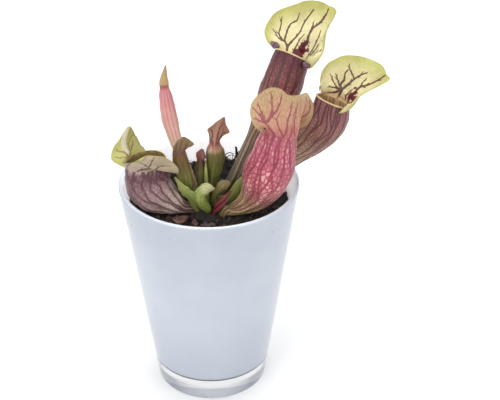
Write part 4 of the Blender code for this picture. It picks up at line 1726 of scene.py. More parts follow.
# Its pale mark along the hood's fold crest is a painted highlight.
LEFT_SKIN = LeafFinish(
    "left_leaf_skin",
    ground=(
        (0.0, (108, 72, 60)), (0.3, (206, 184, 174)), (0.5, (172, 146, 144)), (0.8, (100, 62, 71)),
        (1.0, (112, 80, 88)),
    ),
    cells=(
        (0.0, (170, 144, 120)), (0.35, (232, 214, 204)), (0.6, (180, 150, 150)), (0.85, (150, 118, 126)),
        (1.0, (160, 130, 132)),
    ),
    vein=((0.0, (66, 38, 34)), (0.5, (90, 48, 58)), (1.0, (80, 46, 60))), inside=(134, 110, 72),
    hood_out=(180, 164, 140), hood_out_edge=(186, 172, 142), hood_out_low=(170, 148, 136), hood_low=(130, 110, 76),
    hood_in=(190, 190, 118), hood_in_edge=(182, 182, 104), hood_vein=(146, 124, 82), hood_vein_out=(72, 40, 46),
    blotch_and_highlight=(216, 208, 184), cell_size=0.0016,
)
# Painted shade: the narrow dark band at 0.865 of the ground and cells ramps, just under the tip flap's ledge.
SPEAR_SKIN = LeafFinish(
    "spear_leaf_skin",
    ground=(
        (0.0, (216, 180, 140)), (0.48, (248, 214, 194)), (0.64, (226, 168, 162)), (0.84, (206, 132, 138)),
        (0.865, (148, 84, 72)), (0.88, (190, 160, 108)), (1.0, (168, 146, 100)),
    ),
    cells=(
        (0.0, (238, 206, 168)), (0.5, (246, 212, 188)), (0.84, (222, 154, 156)), (0.865, (150, 90, 78)),
        (0.88, (208, 180, 124)), (1.0, (184, 162, 112)),
    ),
    vein=((0.0, (176, 120, 104)), (0.5, (186, 104, 112)), (0.84, (176, 92, 104)), (1.0, (140, 104, 78))),
    cell_size=0.0009, stretch=5.0, cell_strength=0.5, line_strength=0.12, vein_strength=0.6,
)
OLIVE_SKIN = LeafFinish(
    "olive_leaf_skin",
    ground=((0.0, (134, 150, 76)), (0.5, (122, 130, 64)), (0.8, (114, 108, 54)), (1.0, (124, 96, 60))),
    cells=((0.0, (166, 178, 104)), (0.5, (154, 160, 88)), (1.0, (148, 132, 80))),
    vein=((0.0, (96, 98, 50)), (0.6, (84, 58, 38)), (1.0, (104, 50, 44))), inside=(96, 74, 54),
    hood_out=(116, 100, 62), hood_out_edge=(134, 112, 72), hood_out_low=(108, 86, 56), hood_low=(110, 84, 60),
    hood_in=(140, 118, 84), hood_in_edge=(146, 124, 90), hood_vein=(104, 50, 52), hood_vein_out=(100, 56, 54),
    cell_size=0.0009, cell_strength=0.45, line_strength=0.2, vein_strength=0.45,
)
MIDDLE_SKIN = replace(
    OLIVE_SKIN, name="middle_leaf_skin",
    ground=(
        (0.0, (124, 132, 74)), (0.7, (104, 112, 50)), (0.9, (106, 106, 50)), (0.95, (186, 156, 124)),
        (1.0, (190, 130, 116)),
    ),
    cells=(
        (0.0, (160, 176, 96)), (0.7, (126, 134, 62)), (0.9, (128, 122, 64)), (0.95, (216, 186, 158)),
        (1.0, (210, 160, 148)),
    ),
    hood_out=(166, 128, 108), hood_out_edge=(150, 112, 92), hood_out_low=(196, 140, 128), hood_in=(158, 128, 110),
    hood_in_edge=(150, 122, 100), hood_low=(160, 110, 104),
)
DARK_SKIN = LeafFinish(
    "dark_leaf_skin",
    ground=(
        (0.0, (100, 110, 54)), (0.6, (92, 92, 48)), (0.8, (96, 72, 48)), (0.86, (132, 78, 72)),
        (1.0, (128, 78, 74)),
    ),
    cells=((0.0, (122, 132, 70)), (0.7, (112, 108, 60)), (0.85, (150, 106, 90)), (1.0, (156, 108, 100))),
    vein=((0.0, (60, 60, 36)), (1.0, (66, 34, 36))), cell_size=0.0009, cell_strength=0.4, vein_strength=0.45,
)
GREEN_SKIN = LeafFinish(
    "green_leaf_skin",
    ground=((0.0, (136, 146, 78)), (0.5, (150, 162, 88)), (0.85, (160, 166, 96)), (1.0, (152, 134, 90))),
    cells=((0.0, (164, 178, 106)), (0.5, (184, 194, 120)), (1.0, (182, 174, 118))),
    vein=((0.0, (104, 112, 62)), (1.0, (112, 108, 66))), cell_size=0.0009, stretch=3.0, cell_strength=0.6,
    line_strength=0.15, vein_strength=0.35,
)
SQUAT_SKIN = replace(
    GREEN_SKIN, name="squat_leaf_skin",
    ground=(
        (0.0, (112, 126, 60)), (0.45, (134, 150, 70)), (0.7, (158, 172, 98)), (0.8, (196, 196, 144)),
        (1.0, (206, 198, 150)),
    ),
    cells=((0.0, (136, 150, 78)), (0.5, (158, 172, 90)), (0.75, (200, 206, 146)), (1.0, (214, 206, 164))),
)
SHORT_SKIN = replace(
    OLIVE_SKIN, name="short_leaf_skin",
    ground=((0.0, (110, 104, 56)), (0.4, (118, 116, 62)), (0.7, (140, 128, 84)), (1.0, (146, 130, 94))),
    cells=((0.0, (136, 128, 74)), (0.5, (144, 138, 80)), (1.0, (172, 156, 116))),
)
RED_SKIN = LeafFinish(
    "red_shoot_skin", ground=((0.0, (132, 44, 56)), (1.0, (116, 52, 56))),
    cells=((0.0, (160, 78, 84)), (1.0, (142, 84, 80))), vein=((0.0, (84, 24, 36)), (1.0, (76, 34, 38))),
    cell_size=0.0008,
)

# The thick pieces of coir: the points of each one and its radius.
TWIGS = (
    (((20.2, 41.7, 143), (19.9, 41.7, 148.5), (19.2, 41.7, 152.4), (19.0, 41.7, 155.6)), 1.3),
    (((17.5, 43.2, 143), (18.9, 43.2, 148.4), (21.0, 43.2, 151.6)), 0.7),
    (((9.3, 45, 143), (11.4, 45, 147.4), (14.2, 45, 149.4), (17.4, 45, 148.1)), 0.45),
    (((9.8, 39.3, 143), (11.9, 39.3, 148.4), (15.4, 39.3, 150.7), (18.6, 39.3, 149.5)), 0.4),
    (((10.4, 33.9, 143), (14.6, 33.9, 148.4), (18.7, 33.9, 149.1), (21.4, 33.9, 146.4)), 0.4),
    (((11.7, 29.7, 143), (13.8, 29.7, 148.4), (15.9, 29.7, 152.3), (16.6, 29.7, 157.7)), 0.3),
    (((7.0, 27.1, 146.5), (9.6, 27.1, 144.5), (13.7, 27.1, 144.9), (16.2, 27.1, 147.5)), 0.25),
    (((8.4, 34.9, 147.4), (11.8, 34.9, 146.2), (15.9, 34.9, 146.1), (19.2, 34.9, 144.0)), 0.3),
    (((-11.4, 30.5, 143), (-10.7, 30.5, 148.2), (-8.6, 30.5, 150.5)), 0.9),
    (((-12.8, 36.0, 143), (-9.3, 36.0, 146.8), (-7.3, 36.0, 144.0)), 0.6),
)

# The tall pitcher at the back right, which shows the inside of its hood.
TALL_PITCHER = Pitcher(
    "tall_leaf_body", "tall_pitcher", Slot.TALL, TALL_SKIN,
    Spine(
        (50, 9.5),
        (
            (12, -7.2, 152), (17.1, -6.8, 161), (26, 3, 175), (31.5, 10, 183), (39, 17.5, 193.5), (46.3, 25, 203.8),
            (52.2, 31.5, 217), (56.3, 36.5, 226),
        ),
        (0.73, 0.68, 0.0),
    ),
    (
        (0, 3.0), (0.2, 3.7), (0.38, 4.3), (0.49, 5.0), (0.62, 8.8), (0.72, 12.2), (0.82, 13.3), (0.93, 12.7),
        (1, 12.2),
    ),
    Hood(
        90, 9, 3,
        (
            (63.5, 26, 225.8), (66.2, 26, 222.5), (71.6, 29, 224.7), (76.8, 34, 230.7), (78.6, 40, 237),
            (80.2, 46, 244.9), (83.6, 48, 249.7), (85.3, 48, 254.3), (80.6, 52, 255.7), (75.3, 58, 255.8),
            (66.7, 65, 253.1), (59.5, 69, 248.8), (52.8, 72, 244.9), (47.1, 74, 240.7), (42.3, 74, 235.1),
            (39.7, 71, 230.2), (40.6, 66, 225.3), (43.9, 58, 223), (48.2, 50, 226),
        ),
        folds=(
            Fold(((0.12, 0.39), (-0.03, 0.66), (-0.22, 0.97)), -0.9, 3.0),
            Fold(((0.3, 0.6), (0.05, 0.86)), 0.7, 4.0),
        ),
        curls=(
            (((43.4, 59.0, 226.2), (45.8, 55.0, 225.7), (48.4, 50.0, 226.9)), 2.3),
            (((62.9, 25.0, 227.3), (65.3, 23.5, 225.8), (67.7, 24.0, 226.0)), 2.1),
        ),
        stain_and_highlight=((0.26, 0.16), (0.18, 0.3), (0.12, 0.4)), stain_and_highlight_size=5.0, stain_and_highlight_break=0.8,
        veins=(
            Vein(
                ((0.66, 0.22), (0.6, 0.32), (0.38, 0.51), (0.19, 0.67), (0.12, 0.76), (0.04, 0.84), (-0.02, 0.91)),
                1.05, 0.5, 5, 3.0,
            ),
            Vein(
                ((0.6, 0.33), (0.57, 0.43), (0.55, 0.54), (0.43, 0.67), (0.31, 0.79), (0.23, 0.81), (0.17, 0.89)),
                0.9, 0.45, 5, 3.6,
            ),
            Vein(
                ((0.57, 0.43), (0.56, 0.49), (0.59, 0.61), (0.56, 0.73), (0.46, 0.81), (0.39, 0.91)), 0.8, 0.4, 5,
                3.8,
            ),
            Vein(((0.57, 0.5), (0.63, 0.66), (0.6, 0.77), (0.58, 0.87)), 0.5, 0.3, 4, 3.0),
            Vein(
                (
                    (0.16, 0.3), (0.12, 0.39), (0.02, 0.5), (-0.03, 0.66), (-0.16, 0.79), (-0.21, 0.89),
                    (-0.22, 0.97),
                ),
                1.2, 0.5, 7, 3.4,
            ),
            Vein(((-0.03, 0.64), (-0.05, 0.71), (-0.05, 0.79)), 0.8, 0.35, 3, 2.6),
            Vein(((0.44, 0.12), (0.43, 0.2), (0.32, 0.39), (0.17, 0.56), (0.1, 0.61)), 0.85, 0.35, 3, 2.6),
            Vein(((-0.1, 0.18), (-0.2, 0.44), (-0.21, 0.57), (-0.21, 0.71)), 0.75, 0.35, 4, 3.0),
            Vein(((-0.16, 0.12), (-0.22, 0.27), (-0.3, 0.47), (-0.45, 0.7)), 0.75, 0.35, 4, 3.2),
            Vein(((-0.22, 0.1), (-0.4, 0.3), (-0.66, 0.6), (-0.67, 0.8)), 0.6, 0.3, 4, 3.0),
        ),
    ),
    lip=0.55, lip_tint=(204, 182, 132), seed=11,
)

# The pitcher that leans out to the right.
RIGHT_PITCHER = Pitcher(
    "right_leaf_body", "right_pitcher", Slot.RIGHT, RIGHT_SKIN,
    Spine(
        (5, 10.5),
        (
            (15, -10.5, 144.5), (26, -6, 150.5), (41, -2, 162), (55.5, 2, 173.3), (68, 5, 182.4), (78, 7.5, 193.4),
            (81.7, 9, 207),
        ),
        (0.75, 0.65, 0.0),
    ),
    ((0, 3.0), (0.2, 3.4), (0.4, 6.0), (0.65, 10.1), (0.82, 12.8), (0.93, 12.4), (1, 11.6)),
    Hood(
        90, 8, 3,
        (
            (84, -4, 205), (90.9, -2, 206.2), (93.7, -4, 210.6), (96.3, -5, 214.6), (98.9, -5, 217.8),
            (102.4, -5, 220.4), (106.6, -4, 222.5), (111.6, -1, 223.2), (115.8, 2, 223.6), (117.8, 6, 224.7),
            (116, 9, 226), (115, 10, 228), (112, 14, 231), (108, 17, 232), (102, 20, 233), (96, 23, 233),
            (89, 25, 232), (84, 26, 229), (79, 26, 226), (75, 24, 221), (74, 22, 216), (74, 19, 212),
            (73, 18, 209.5),
        ),
        slope=-2.0, stain_and_highlight=((-0.3, 0.16), (-0.18, 0.26), (-0.13, 0.36)), stain_and_highlight_size=4.2, stain_and_highlight_break=0.8,
        folds=(
            Fold(((-0.15, 0.2), (-0.08, 0.57), (-0.14, 1.0)), -0.8, 3.0),
            Fold(((0.6, 0.3), (0.3, 0.3), (0.1, 0.2)), -1.0, 3.0),
        ),
        veins=(
            Vein(((0.28, 0.31), (0.44, 0.21), (0.73, 0.08), (0.95, 0.02)), 0.9, 0.5, 3, 2.4),
            Vein(((0.29, 0.33), (0.35, 0.43), (0.32, 0.57), (0.35, 0.69), (0.33, 0.76)), 0.95, 0.4, 4, 3.0),
            Vein(((0.27, 0.31), (0.18, 0.51), (0.14, 0.63), (0.09, 0.74), (0.04, 0.81)), 1.0, 0.45, 5, 3.4),
            Vein(((0.15, 0.63), (0.23, 0.7), (0.3, 0.76), (0.34, 0.86)), 0.6, 0.3, 3, 2.6),
            Vein(((0.25, 0.3), (0.27, 0.15), (0.3, 0.0)), 1.0, 0.8, 1, 2.0),
            Vein(
                ((-0.2, 0.08), (-0.12, 0.37), (-0.08, 0.57), (-0.14, 0.7), (-0.15, 0.84), (-0.14, 0.98)), 1.15, 0.5,
                6, 3.2,
            ),
            Vein(((-0.08, 0.57), (-0.04, 0.66), (-0.02, 0.74)), 0.7, 0.35, 2, 2.4),
            Vein(((0.3, 0.33), (0.38, 0.42), (0.44, 0.51), (0.52, 0.67)), 0.6, 0.3, 4, 2.6),
            Vein(((0.31, 0.31), (0.49, 0.4), (0.58, 0.56), (0.63, 0.7)), 0.55, 0.3, 4, 2.6),
            Vein(((0.3, 0.31), (0.56, 0.33), (0.71, 0.31)), 0.6, 0.3, 4, 2.2),
            Vein(((-0.02, 0.1), (0.05, 0.3), (-0.02, 0.5)), 0.6, 0.3, 3, 2.4),
            Vein(((-0.4, 0.1), (-0.42, 0.4), (-0.4, 0.7)), 0.6, 0.3, 4, 3.0),
        ),
    ),
    lip=0.6, lip_tint=(196, 168, 124), seed=12,
)

# The rose pitcher in front, seen from behind its hood.
FRONT_PITCHER = Pitcher(
    "front_leaf_body", "front_pitcher", Slot.FRONT, FRONT_SKIN,
    Spine(
        (-33, 10.5),
        (
            (15, -21.5, 144.5), (23, -23.5, 149.3), (29.5, -25, 156.5), (35.5, -27, 169), (40, -28, 181),
            (43, -27.5, 193), (45.2, -26, 204.4),
        ),
        (0.95, -0.3, 0.0),
    ),
    ((0, 3.0), (0.13, 4.0), (0.24, 6.2), (0.35, 9.4), (0.52, 14.0), (0.66, 15.0), (0.82, 13.6), (1, 11.4)),
    Hood(
        128, 6, 2,
        (
            (34, -37, 210), (30, -37, 213), (26.5, -36, 221), (27, -36, 229), (31, -35, 235), (39, -35, 240),
            (45, -35, 239), (50, -35, 235), (55, -34, 233.5), (57, -28, 231), (60, -22, 229), (62, -21, 229),
            (65, -19, 224), (67, -18, 218), (66.5, -18, 211), (63, -19, 205), (58, -19, 202.5), (50, -17, 203),
        ),
        folds=(
            Fold(((0.08, 1.0), (-0.05, 0.69), (-0.12, 0.29)), -1.5, 2.6),
            Fold(((-0.45, 0.35), (-0.33, 0.8)), 0.8, 4.0),
        ),
        veins=(
            Vein(((-0.72, 0.0), (-0.74, 0.35), (-0.7, 0.63), (-0.65, 0.83), (-0.63, 0.96)), 1.2, 0.4, 5, 3.0),
            Vein(((-0.7, 0.63), (-0.74, 0.8), (-0.76, 0.94)), 0.7, 0.3, 3, 2.6),
            Vein(((-0.68, 0.66), (-0.59, 0.83), (-0.54, 0.94)), 0.8, 0.35, 4, 3.0),
            Vein(((-0.66, 0.64), (-0.49, 0.71), (-0.38, 0.86), (-0.34, 0.95)), 0.8, 0.35, 5, 3.2),
            Vein(((-0.63, 0.63), (-0.38, 0.74), (-0.28, 0.83), (-0.22, 0.93)), 0.95, 0.4, 5, 3.2),
            Vein(((-0.6, 0.0), (-0.51, 0.11), (-0.31, 0.49), (-0.15, 0.74), (-0.06, 0.92)), 1.1, 0.4, 6, 3.4),
            Vein(((-0.51, 0.11), (-0.51, 0.43), (-0.47, 0.6), (-0.35, 0.7)), 0.7, 0.3, 4, 3.0),
            Vein(((-0.35, 0.0), (-0.31, 0.14), (-0.17, 0.49), (-0.05, 0.74), (0.04, 0.9)), 1.0, 0.4, 5, 3.0),
            Vein(((-0.15, 0.1), (-0.12, 0.26), (-0.06, 0.63), (0.09, 0.88)), 0.8, 0.35, 4, 3.0),
            Vein(((0.05, 0.05), (0.09, 0.29), (0.16, 0.57), (0.18, 0.92)), 0.8, 0.35, 4, 2.6),
            Vein(((0.3, 0.0), (0.4, 0.35), (0.45, 0.65), (0.36, 0.82), (0.29, 0.94)), 0.8, 0.35, 4, 2.6),
            Vein(((0.55, 0.3), (0.62, 0.7), (0.54, 0.89), (0.4, 0.95)), 0.7, 0.35, 4, 2.6),
        ),
    ),
    lip=0.35, lip_tint=(196, 150, 118), rows=84, veins=13, vein_width=1.35, rib_count=6, seed=13,
)

# The pitcher on the left, its hood in two lobes.
LEFT_PITCHER = Pitcher(
    "left_leaf_body", "left_pitcher", Slot.LEFT, LEFT_SKIN,
    Spine(
        (190, 10.5),
        (
            (-20, -18, 146), (-29, -17.5, 151), (-35.5, -16, 155.5), (-39.5, -14, 161), (-40.5, -11.5, 168),
            (-41, -9.5, 175),
        ),
        (-0.97, -0.05, 0.0),
    ),
    ((0, 2.8), (0.18, 3.8), (0.34, 7.5), (0.5, 12.0), (0.66, 14.8), (0.84, 14.6), (1, 13.6)),
    Hood(
        92, 4, 2,
        (
            (-47, 4, 175.5), (-46.8, 7, 180.2), (-49.7, 8, 189.4), (-51.8, 8, 192), (-55, 7, 188.6),
            (-57.7, 5, 183.8), (-61.7, 2, 179.9), (-63.4, 0, 175.8), (-63.4, -2, 173), (-59.3, -6, 171),
            (-52.3, -14, 173.2), (-50.7, -17, 176.7), (-45.4, -23, 182), (-37.8, -28, 188.7), (-33.3, -29, 189.4),
            (-29.1, -29, 189), (-25.8, -28, 186), (-22.5, -26, 182.1), (-19.4, -24, 177.1), (-19.9, -22, 172.6),
            (-25, -21, 173),
        ),
        lean=-3.6,
        folds=(Fold(((-0.39, 0.1), (-0.44, 0.44), (-0.51, 0.77), (-0.6, 0.91), (-0.67, 1.0)), -1.3, 2.6),),
        # Painted highlight: the pale mark runs along the fold's crest.
        stain_and_highlight=((-0.42, 0.3), (-0.44, 0.44), (-0.51, 0.77), (-0.6, 0.91), (-0.67, 1.0)), stain_and_highlight_size=1.7,
        stain_and_highlight_break=0.1,
        veins=(
            Vein(((-0.36, 0.1), (-0.39, 0.64), (-0.37, 0.84)), 0.6, 0.3, 4, 2.6),
            Vein(((-0.3, 0.1), (-0.22, 0.51), (-0.28, 0.83)), 0.6, 0.3, 4, 2.6),
            Vein(((-0.5, 0.2), (-0.54, 0.33), (-0.59, 0.59), (-0.67, 0.7), (-0.76, 0.84)), 0.7, 0.35, 4, 2.6),
            Vein(((-0.59, 0.3), (-0.66, 0.47), (-0.71, 0.59)), 0.6, 0.3, 3, 2.4),
            Vein(((0.7, 0.0), (0.76, 0.25), (0.8, 0.49), (0.61, 0.59), (0.5, 0.62)), 0.6, 0.3, 5, 3.2),
            Vein(((0.8, 0.49), (0.56, 0.84), (0.49, 0.98)), 0.5, 0.25, 3, 2.8),
            Vein(((0.8, 0.2), (0.9, 0.55), (0.76, 0.8), (0.78, 0.93)), 0.6, 0.3, 5, 3.2),
            Vein(((0.9, 0.55), (0.93, 0.76), (0.97, 0.95)), 0.5, 0.25, 3, 2.8),
            Vein(((0.3, 0.0), (0.3, 0.5), (0.25, 0.9)), 0.5, 0.25, 4, 2.8),
            Vein(((0.0, 0.0), (0.0, 0.5), (0.0, 0.9)), 0.5, 0.25, 4, 2.8),
        ),
    ),
    lip=0.45, lip_tint=(180, 162, 112), collar=0.93, veins=14, vein_width=1.5, rib_count=8, ribs=0.8, seed=14,
)

# The small olive pitcher beside the spear.
OLIVE_PITCHER = Pitcher(
    "olive_leaf_body", "olive_pitcher", Slot.OLIVE, OLIVE_SKIN,
    Spine(
        (196, 5.4), ((-11.3, -17, 153), (-14.8, -17, 165), (-17.6, -16, 175.5), (-19.0, -15, 184)),
        (-0.2, -1.0, 0.0),
    ),
    ((0, 1.7), (0.25, 1.9), (0.42, 2.9), (0.58, 4.4), (0.82, 5.2), (0.93, 4.8), (1, 4.4)),
    Hood(
        105, 3, -0.6,
        (
            (-22.5, -12.5, 184.5), (-22.1, -12.5, 187.1), (-19.5, -11.5, 190.8), (-15.6, -11, 193.5),
            (-12.7, -10.5, 191.3), (-9.4, -12, 188.3), (-13.6, -12, 186.6),
        ),
        slope=-1.2, wave=0.2, fan=5,
    ),
    lip=0.35, lip_tint=(116, 94, 68), veins=9, ribs=0.4, wing=0.7, wall=0.6, cavity=0.8, columns=96, rings=70,
    rows=24, seed=15,
)

# The small pitcher in the middle, its neck and hood pink.
MIDDLE_PITCHER = Pitcher(
    "middle_leaf_body", "middle_pitcher", Slot.OLIVE, MIDDLE_SKIN,
    Spine((95, 5.5), ((1.4, -9.8, 155), (3.6, -10, 168), (4.4, -10, 179), (4.0, -9.4, 187)), (0.1, -1.0, 0.0)),
    ((0, 2.0), (0.3, 2.8), (0.6, 4.8), (0.8, 6.2), (0.9, 6.0), (0.96, 4.6), (1, 3.6)),
    Hood(
        105, 6, -0.4,
        (
            (1.2, -8, 191), (1.2, -9, 194.6), (-0.4, -9.5, 197.4), (2.6, -10, 200.8), (6.4, -10, 204.2),
            (10.6, -10, 206.8), (11.6, -9, 201.2), (13.6, -9, 194.8), (8.6, -9, 194.9), (7.2, -8, 190.8),
        ),
        slope=-0.8, wave=0.2, fan=5,
    ),
    lip=0.4, lip_tint=(176, 128, 116), veins=9, ribs=0.4, wing=0.6, wall=0.6, cavity=0.8, columns=96, rings=70,
    rows=30, seed=16,
)

PITCHERS = (TALL_PITCHER, RIGHT_PITCHER, FRONT_PITCHER, LEFT_PITCHER, OLIVE_PITCHER, MIDDLE_PITCHER)

# The leaves that have no mouth.
BLADES = (
    Blade(
        "spear_leaf_body", "spear_pitcher", Slot.SPEAR, SPEAR_SKIN,
        Spine(
            (140, 7.5),
            (
                (-12.3, -7.5, 165), (-18.5, -4, 180), (-23.3, 1, 196), (-26.1, 5.5, 211.6), (-27.7, 9, 224.4),
                (-26.6, 12, 233.4),
            ),
            (-1.0, 0.3, 0.0),
        ),
        (
            (0, 2.2, 2.0), (0.3, 2.6, 2.4), (0.5, 4.4, 4.4), (0.68, 5.4, 5.2), (0.8, 4.5, 4.1), (0.865, 3.5, 3.0),
            (0.875, 3.9, 3.1), (0.93, 2.6, 2.0), (1, 0.4, 0.4),
        ),
        ridges=11, columns=96, rings=140, seed=21,
    ),
    Blade(
        "dark_leaf_body", "dark_pitcher", Slot.DARK, DARK_SKIN,
        Spine(
            (150, 3.2), ((-5.4, -13.8, 156), (-5.8, -13.4, 170), (-5.2, -13, 179), (-3.8, -12, 184.5)),
            (0.8, 0.6, 0.0),
        ),
        (
            (0, 1.5, 1.5), (0.35, 2.0, 2.0), (0.6, 3.1, 2.9), (0.76, 2.7, 2.5), (0.82, 2.4, 2.2), (0.89, 4.3, 2.4),
            (1, 1.4, 0.7),
        ),
        seed=22,
    ),
    Blade(
        "thin_blade_body", "green_blade", Slot.GREEN, GREEN_SKIN,
        Spine((200, 1.0), ((-1.6, -15.3, 157), (-1.9, -15.6, 170), (-2.0, -15.4, 178)), (0.2, 1.0, 0.0)),
        ((0, 0.9, 0.8), (0.4, 1.2, 0.7), (0.8, 1.0, 0.55), (1, 0.3, 0.3)), columns=40, seed=23,
    ),
    Blade(
        "squat_leaf_body", "squat_pitcher", Slot.GREEN, SQUAT_SKIN,
        Spine(
            (255, 6.0),
            ((-4.6, -23, 149.5), (-6.4, -24.3, 154.2), (-5.6, -25, 159.4), (-2.2, -25, 162.6), (3.4, -24.5, 162.2)),
            (0.8, 0.5, 0.0),
        ),
        ((0, 2.4, 2.0), (0.25, 4.6, 3.6), (0.5, 4.8, 3.8), (0.72, 3.6, 3.4), (0.9, 3.4, 2.2), (1, 0.8, 0.6)),
        groove=0.2, seed=24,
    ),
    Blade(
        "short_leaf_body", "short_pitcher", Slot.OLIVE, SHORT_SKIN,
        Spine(
            (335, 3.6), ((3.4, -16.0, 150.5), (6.6, -16.8, 157.2), (9.6, -17.4, 160.6), (13.6, -17.4, 162.6)),
            (0.3, -0.9, 0.3),
        ),
        ((0, 1.5, 1.4), (0.35, 2.2, 2.0), (0.6, 2.6, 2.0), (0.8, 4.0, 1.8), (1, 1.4, 0.6)), seed=25,
    ),
    Blade(
        "pale_blade_body", "pale_blade", Slot.GREEN, GREEN_SKIN,
        Spine((205, 8.6), ((-11.2, -22.0, 154), (-16.2, -24.5, 162), (-21.8, -25.0, 171.6)), (-0.5, -0.9, 0.0)),
        (
            (0, 1.6, 1.2), (0.35, 3.8, 1.1), (0.6, 4.6, 0.9), (0.62, 4.1, 0.9), (0.72, 4.2, 0.9), (0.74, 3.7, 0.8),
            (1, 0.7, 0.3),
        ),
        seed=26,
    ),
    Blade(
        "broad_blade_body", "broad_blade", Slot.GREEN, GREEN_SKIN,
        Spine((25, 5.2), ((12.5, -14.2, 148), (19.0, -15.0, 157.5), (25.0, -14.6, 168.5)), (0.35, -0.9, 0.0)),
        ((0, 1.5, 1.2), (0.4, 3.9, 1.3), (0.72, 3.9, 1.1), (1, 0.7, 0.3)), seed=27,
    ),
    Blade(
        "red_shoot_body", "red_shoot", Slot.RED, RED_SKIN,
        Spine((300, 7.0), ((4.8, -22.6, 147.8), (8.0, -23.4, 152.4), (14.4, -22.0, 159.0)), (0.3, -0.9, 0.0)),
        ((0, 1.2, 1.1), (0.4, 1.7, 1.4), (0.75, 1.5, 1.2), (1, 0.5, 0.4)), columns=56, rings=60, seed=28,
    ),
    Blade(
        "red_stalk_body", None, Slot.RED, RED_SKIN,
        Spine((290, 8.4), ((5.6, -25.0, 146.6), (8.6, -25.2, 150.2), (12.6, -24.4, 154.4)), (0.3, -0.9, 0.0)),
        ((0, 1.0, 0.9), (0.5, 1.3, 1.1), (1, 0.4, 0.4)), columns=48, rings=50, seed=29,
    ),
)

# Dry and woody finishes: name, dark and light tints, roughness, sizes of the mottling and the grain.
MIX_SKIN = EarthFinish("potting_mix_skin", (12, 9, 9), (56, 45, 43), 0.95, 0.004, 0.0009, 0.0006)
CRUMB_SKIN = EarthFinish("crumb_skin", (14, 11, 12), (122, 94, 92), 0.95, 0.006, 0.0014, 0.0003)
COIR_SKIN = EarthFinish("coir_skin", (16, 12, 12), (64, 50, 44), 0.9, 0.004, 0.0006, 0.0002)
CROWN_SKIN = EarthFinish("crown_skin", (18, 14, 13), (60, 47, 40), 0.8, 0.004, 0.0008)
BARK_SKIN = EarthFinish("bark_skin", (70, 44, 40), (150, 112, 96), 0.85, 0.003, 0.0007)
DRY_SKIN = EarthFinish("dry_scrap_skin", (64, 48, 54), (112, 92, 100), 0.8, 0.002, 0.0005)

# The loose pieces that lie on the mix.
LITTER = (
    Scrap(
        "bark_chip_body", "bark_chip", Slot.BARK, BARK_SKIN, (-19, -31, 143.5), (11, 6.5, 2.0), turn=25, tilt=8,
        points=3, ragged=0.12, curl=0.03, seed=31,
    ),
    Scrap(
        "bark_sliver_body", "bark_sliver", Slot.BARK, BARK_SKIN, (-9.5, -34.5, 142.8), (8, 3.4, 1.2), turn=100,
        points=4, ragged=0.14, curl=0.02, seed=32,
    ),
    Scrap(
        "leaf_scrap_body", "leaf_scrap", Slot.SCRAP, DRY_SKIN, (-1, -36.5, 142.5), (8, 6.5, 0.7), turn=10,
        ragged=0.32, curl=0.06, seed=33,
    ),
)


# --------------------------------------------------------------------------- studio


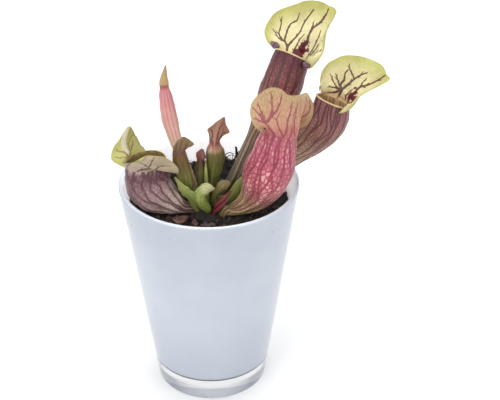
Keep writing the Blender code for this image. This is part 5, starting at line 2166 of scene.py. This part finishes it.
@dataclass(frozen=True)
class Studio:
    """The pale floor, the soft light and the camera: its place in millimetres and its axes."""

    camera: Point = (0.0, -912.83, 693.09)
    right: Point = (0.99951, -0.03113, -0.00232)
    up: Point = (0.01814, 0.51889, 0.85465)
    ahead: Point = (0.02540, 0.85427, -0.51920)
    lens: float = 115.2
    sensor: float = 36.0
    floor: float = 6.0
    below: float = -0.0002
    air: float = 0.9
    aim: Point = (0.0, 0.0, 0.15)
    lamps: tuple[tuple[str, Point, float, float], ...] = (
        ("key_lamp", (-0.9, -1.1, 1.5), 1.0, 11.0),
        ("fill_lamp", (1.2, -0.8, 1.0), 1.0, 4.0),
        ("top_lamp", (0.1, 0.7, 1.7), 1.2, 7.0),
    )

    def build_floor(self) -> None:
        """Build the floor: a wide square sheet just under the pot."""
        half, z = self.floor / 2, self.below
        mesh = bpy.data.meshes.new("studio_floor")
        mesh.from_pydata([(-half, -half, z), (half, -half, z), (half, half, z), (-half, half, z)], [], [(0, 1, 2, 3)])
        material, graph, shader = start_material("studio_floor", Roughness=0.9)
        grain = graph.node("TexNoise", graph.place(), Scale=30.0, Detail=3.0, Roughness=0.55).outputs["Fac"]
        graph.feed(shader["Base Color"], graph.mix(grain, (249, 249, 249), (252, 252, 252)))
        mesh.materials.append(material)
        floor = bpy.data.objects.new("studio_floor", mesh)
        bpy.context.scene.collection.objects.link(floor)

    def build_light(self) -> None:
        """Build the light: an even white surround with large soft lamps to the front left, right and above."""
        world = bpy.data.worlds.new("studio_air")
        bpy.context.scene.world = world
        world.use_nodes = True
        air = world.node_tree.nodes["Background"].inputs
        air["Color"].default_value = (1.0, 1.0, 1.0, 1.0)
        air["Strength"].default_value = self.air
        for name, place, size, power in self.lamps:
            lamp = bpy.data.lights.new(name, "AREA")
            lamp.size = size
            lamp.energy = power
            thing = bpy.data.objects.new(name, lamp)
            ahead = unit(np.array(self.aim) - np.array(place))
            side = unit(np.cross(ahead, np.array([0.0, 0.0, 1.0])))
            turn = np.column_stack([side, np.cross(side, ahead), -ahead])
            thing.matrix_world = Matrix.Translation(place) @ Matrix(turn.tolist()).to_4x4()
            bpy.context.scene.collection.objects.link(thing)

    def build_camera(self) -> None:
        """Build the camera."""
        lens = bpy.data.cameras.new("camera")
        lens.lens = self.lens
        lens.sensor_width = self.sensor
        lens.clip_start = 0.01
        camera = bpy.data.objects.new("camera", lens)
        turn = np.column_stack([self.right, self.up, -np.array(self.ahead)])
        place = [part * MM for part in self.camera]
        camera.matrix_world = Matrix.Translation(place) @ Matrix(turn.tolist()).to_4x4()
        bpy.context.scene.collection.objects.link(camera)
        bpy.context.scene.camera = camera
        bpy.context.scene.view_settings.view_transform = "Standard"


# --------------------------------------------------------------------------- the whole object


def settle(piece: bpy.types.Object, slot: Slot, node: str | None = None) -> None:
    """Put a piece on the object's one body, hide the node it stands for, and report it.

    Args:
        piece: The finished object.
        slot: The record's material slot; not used.
        node: The CAD node that it replaces, if it replaces one.
    """
    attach(piece, "root")
    gap = ""
    if node is not None:
        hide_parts(node)
        low, high = (np.array(corner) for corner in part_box(node))
        corners = np.array([vertex.co[:] for vertex in piece.data.vertices])
        off = np.maximum(low - corners.min(axis=0), corners.max(axis=0) - high) / MM
        gap = f", stands past {node} by {np.round(off, 1).tolist()} mm"
    faces = sum(len(face.vertices) - 2 for face in piece.data.polygons)
    LOG.info("%s: %d triangles%s", piece.name, faces, gap)


def main() -> None:
    """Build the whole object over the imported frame."""
    logging.basicConfig(level=logging.INFO, format="%(name)s %(message)s")
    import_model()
    groups = Groups(build_netting(), build_mottle())

    pot = Pot()
    settle(pot.glass(GlassFinish().material(groups)), Slot.GLASS, "glass_pot")
    settle(pot.lacquer(LacquerFinish(pot.base).material(groups)), Slot.GLASS)

    mix = PottingMix(pot)
    settle(mix.bed(MIX_SKIN.material(groups)), Slot.MIX, "potting_mix")
    settle(mix.loose_crumbs(CRUMB_SKIN.material(groups)), Slot.MIX)
    settle(mix.loose_fibres(COIR_SKIN.material(groups)), Slot.MIX)
    settle(CROWN.build(CROWN_SKIN.material(groups)), Slot.CROWN, "crown")

    for leaf in PITCHERS:
        body, *trims = leaf.build(groups)
        settle(body, leaf.slot, leaf.node)
        for trim in trims:
            settle(trim, leaf.slot)
    for blade in BLADES:
        settle(blade.build(groups), blade.slot, blade.node)
    for scrap in LITTER:
        settle(scrap.build(groups), scrap.slot, scrap.node)

    studio = Studio()
    studio.build_floor()
    studio.build_light()
    studio.build_camera()


if __name__ == "__main__":
    main()
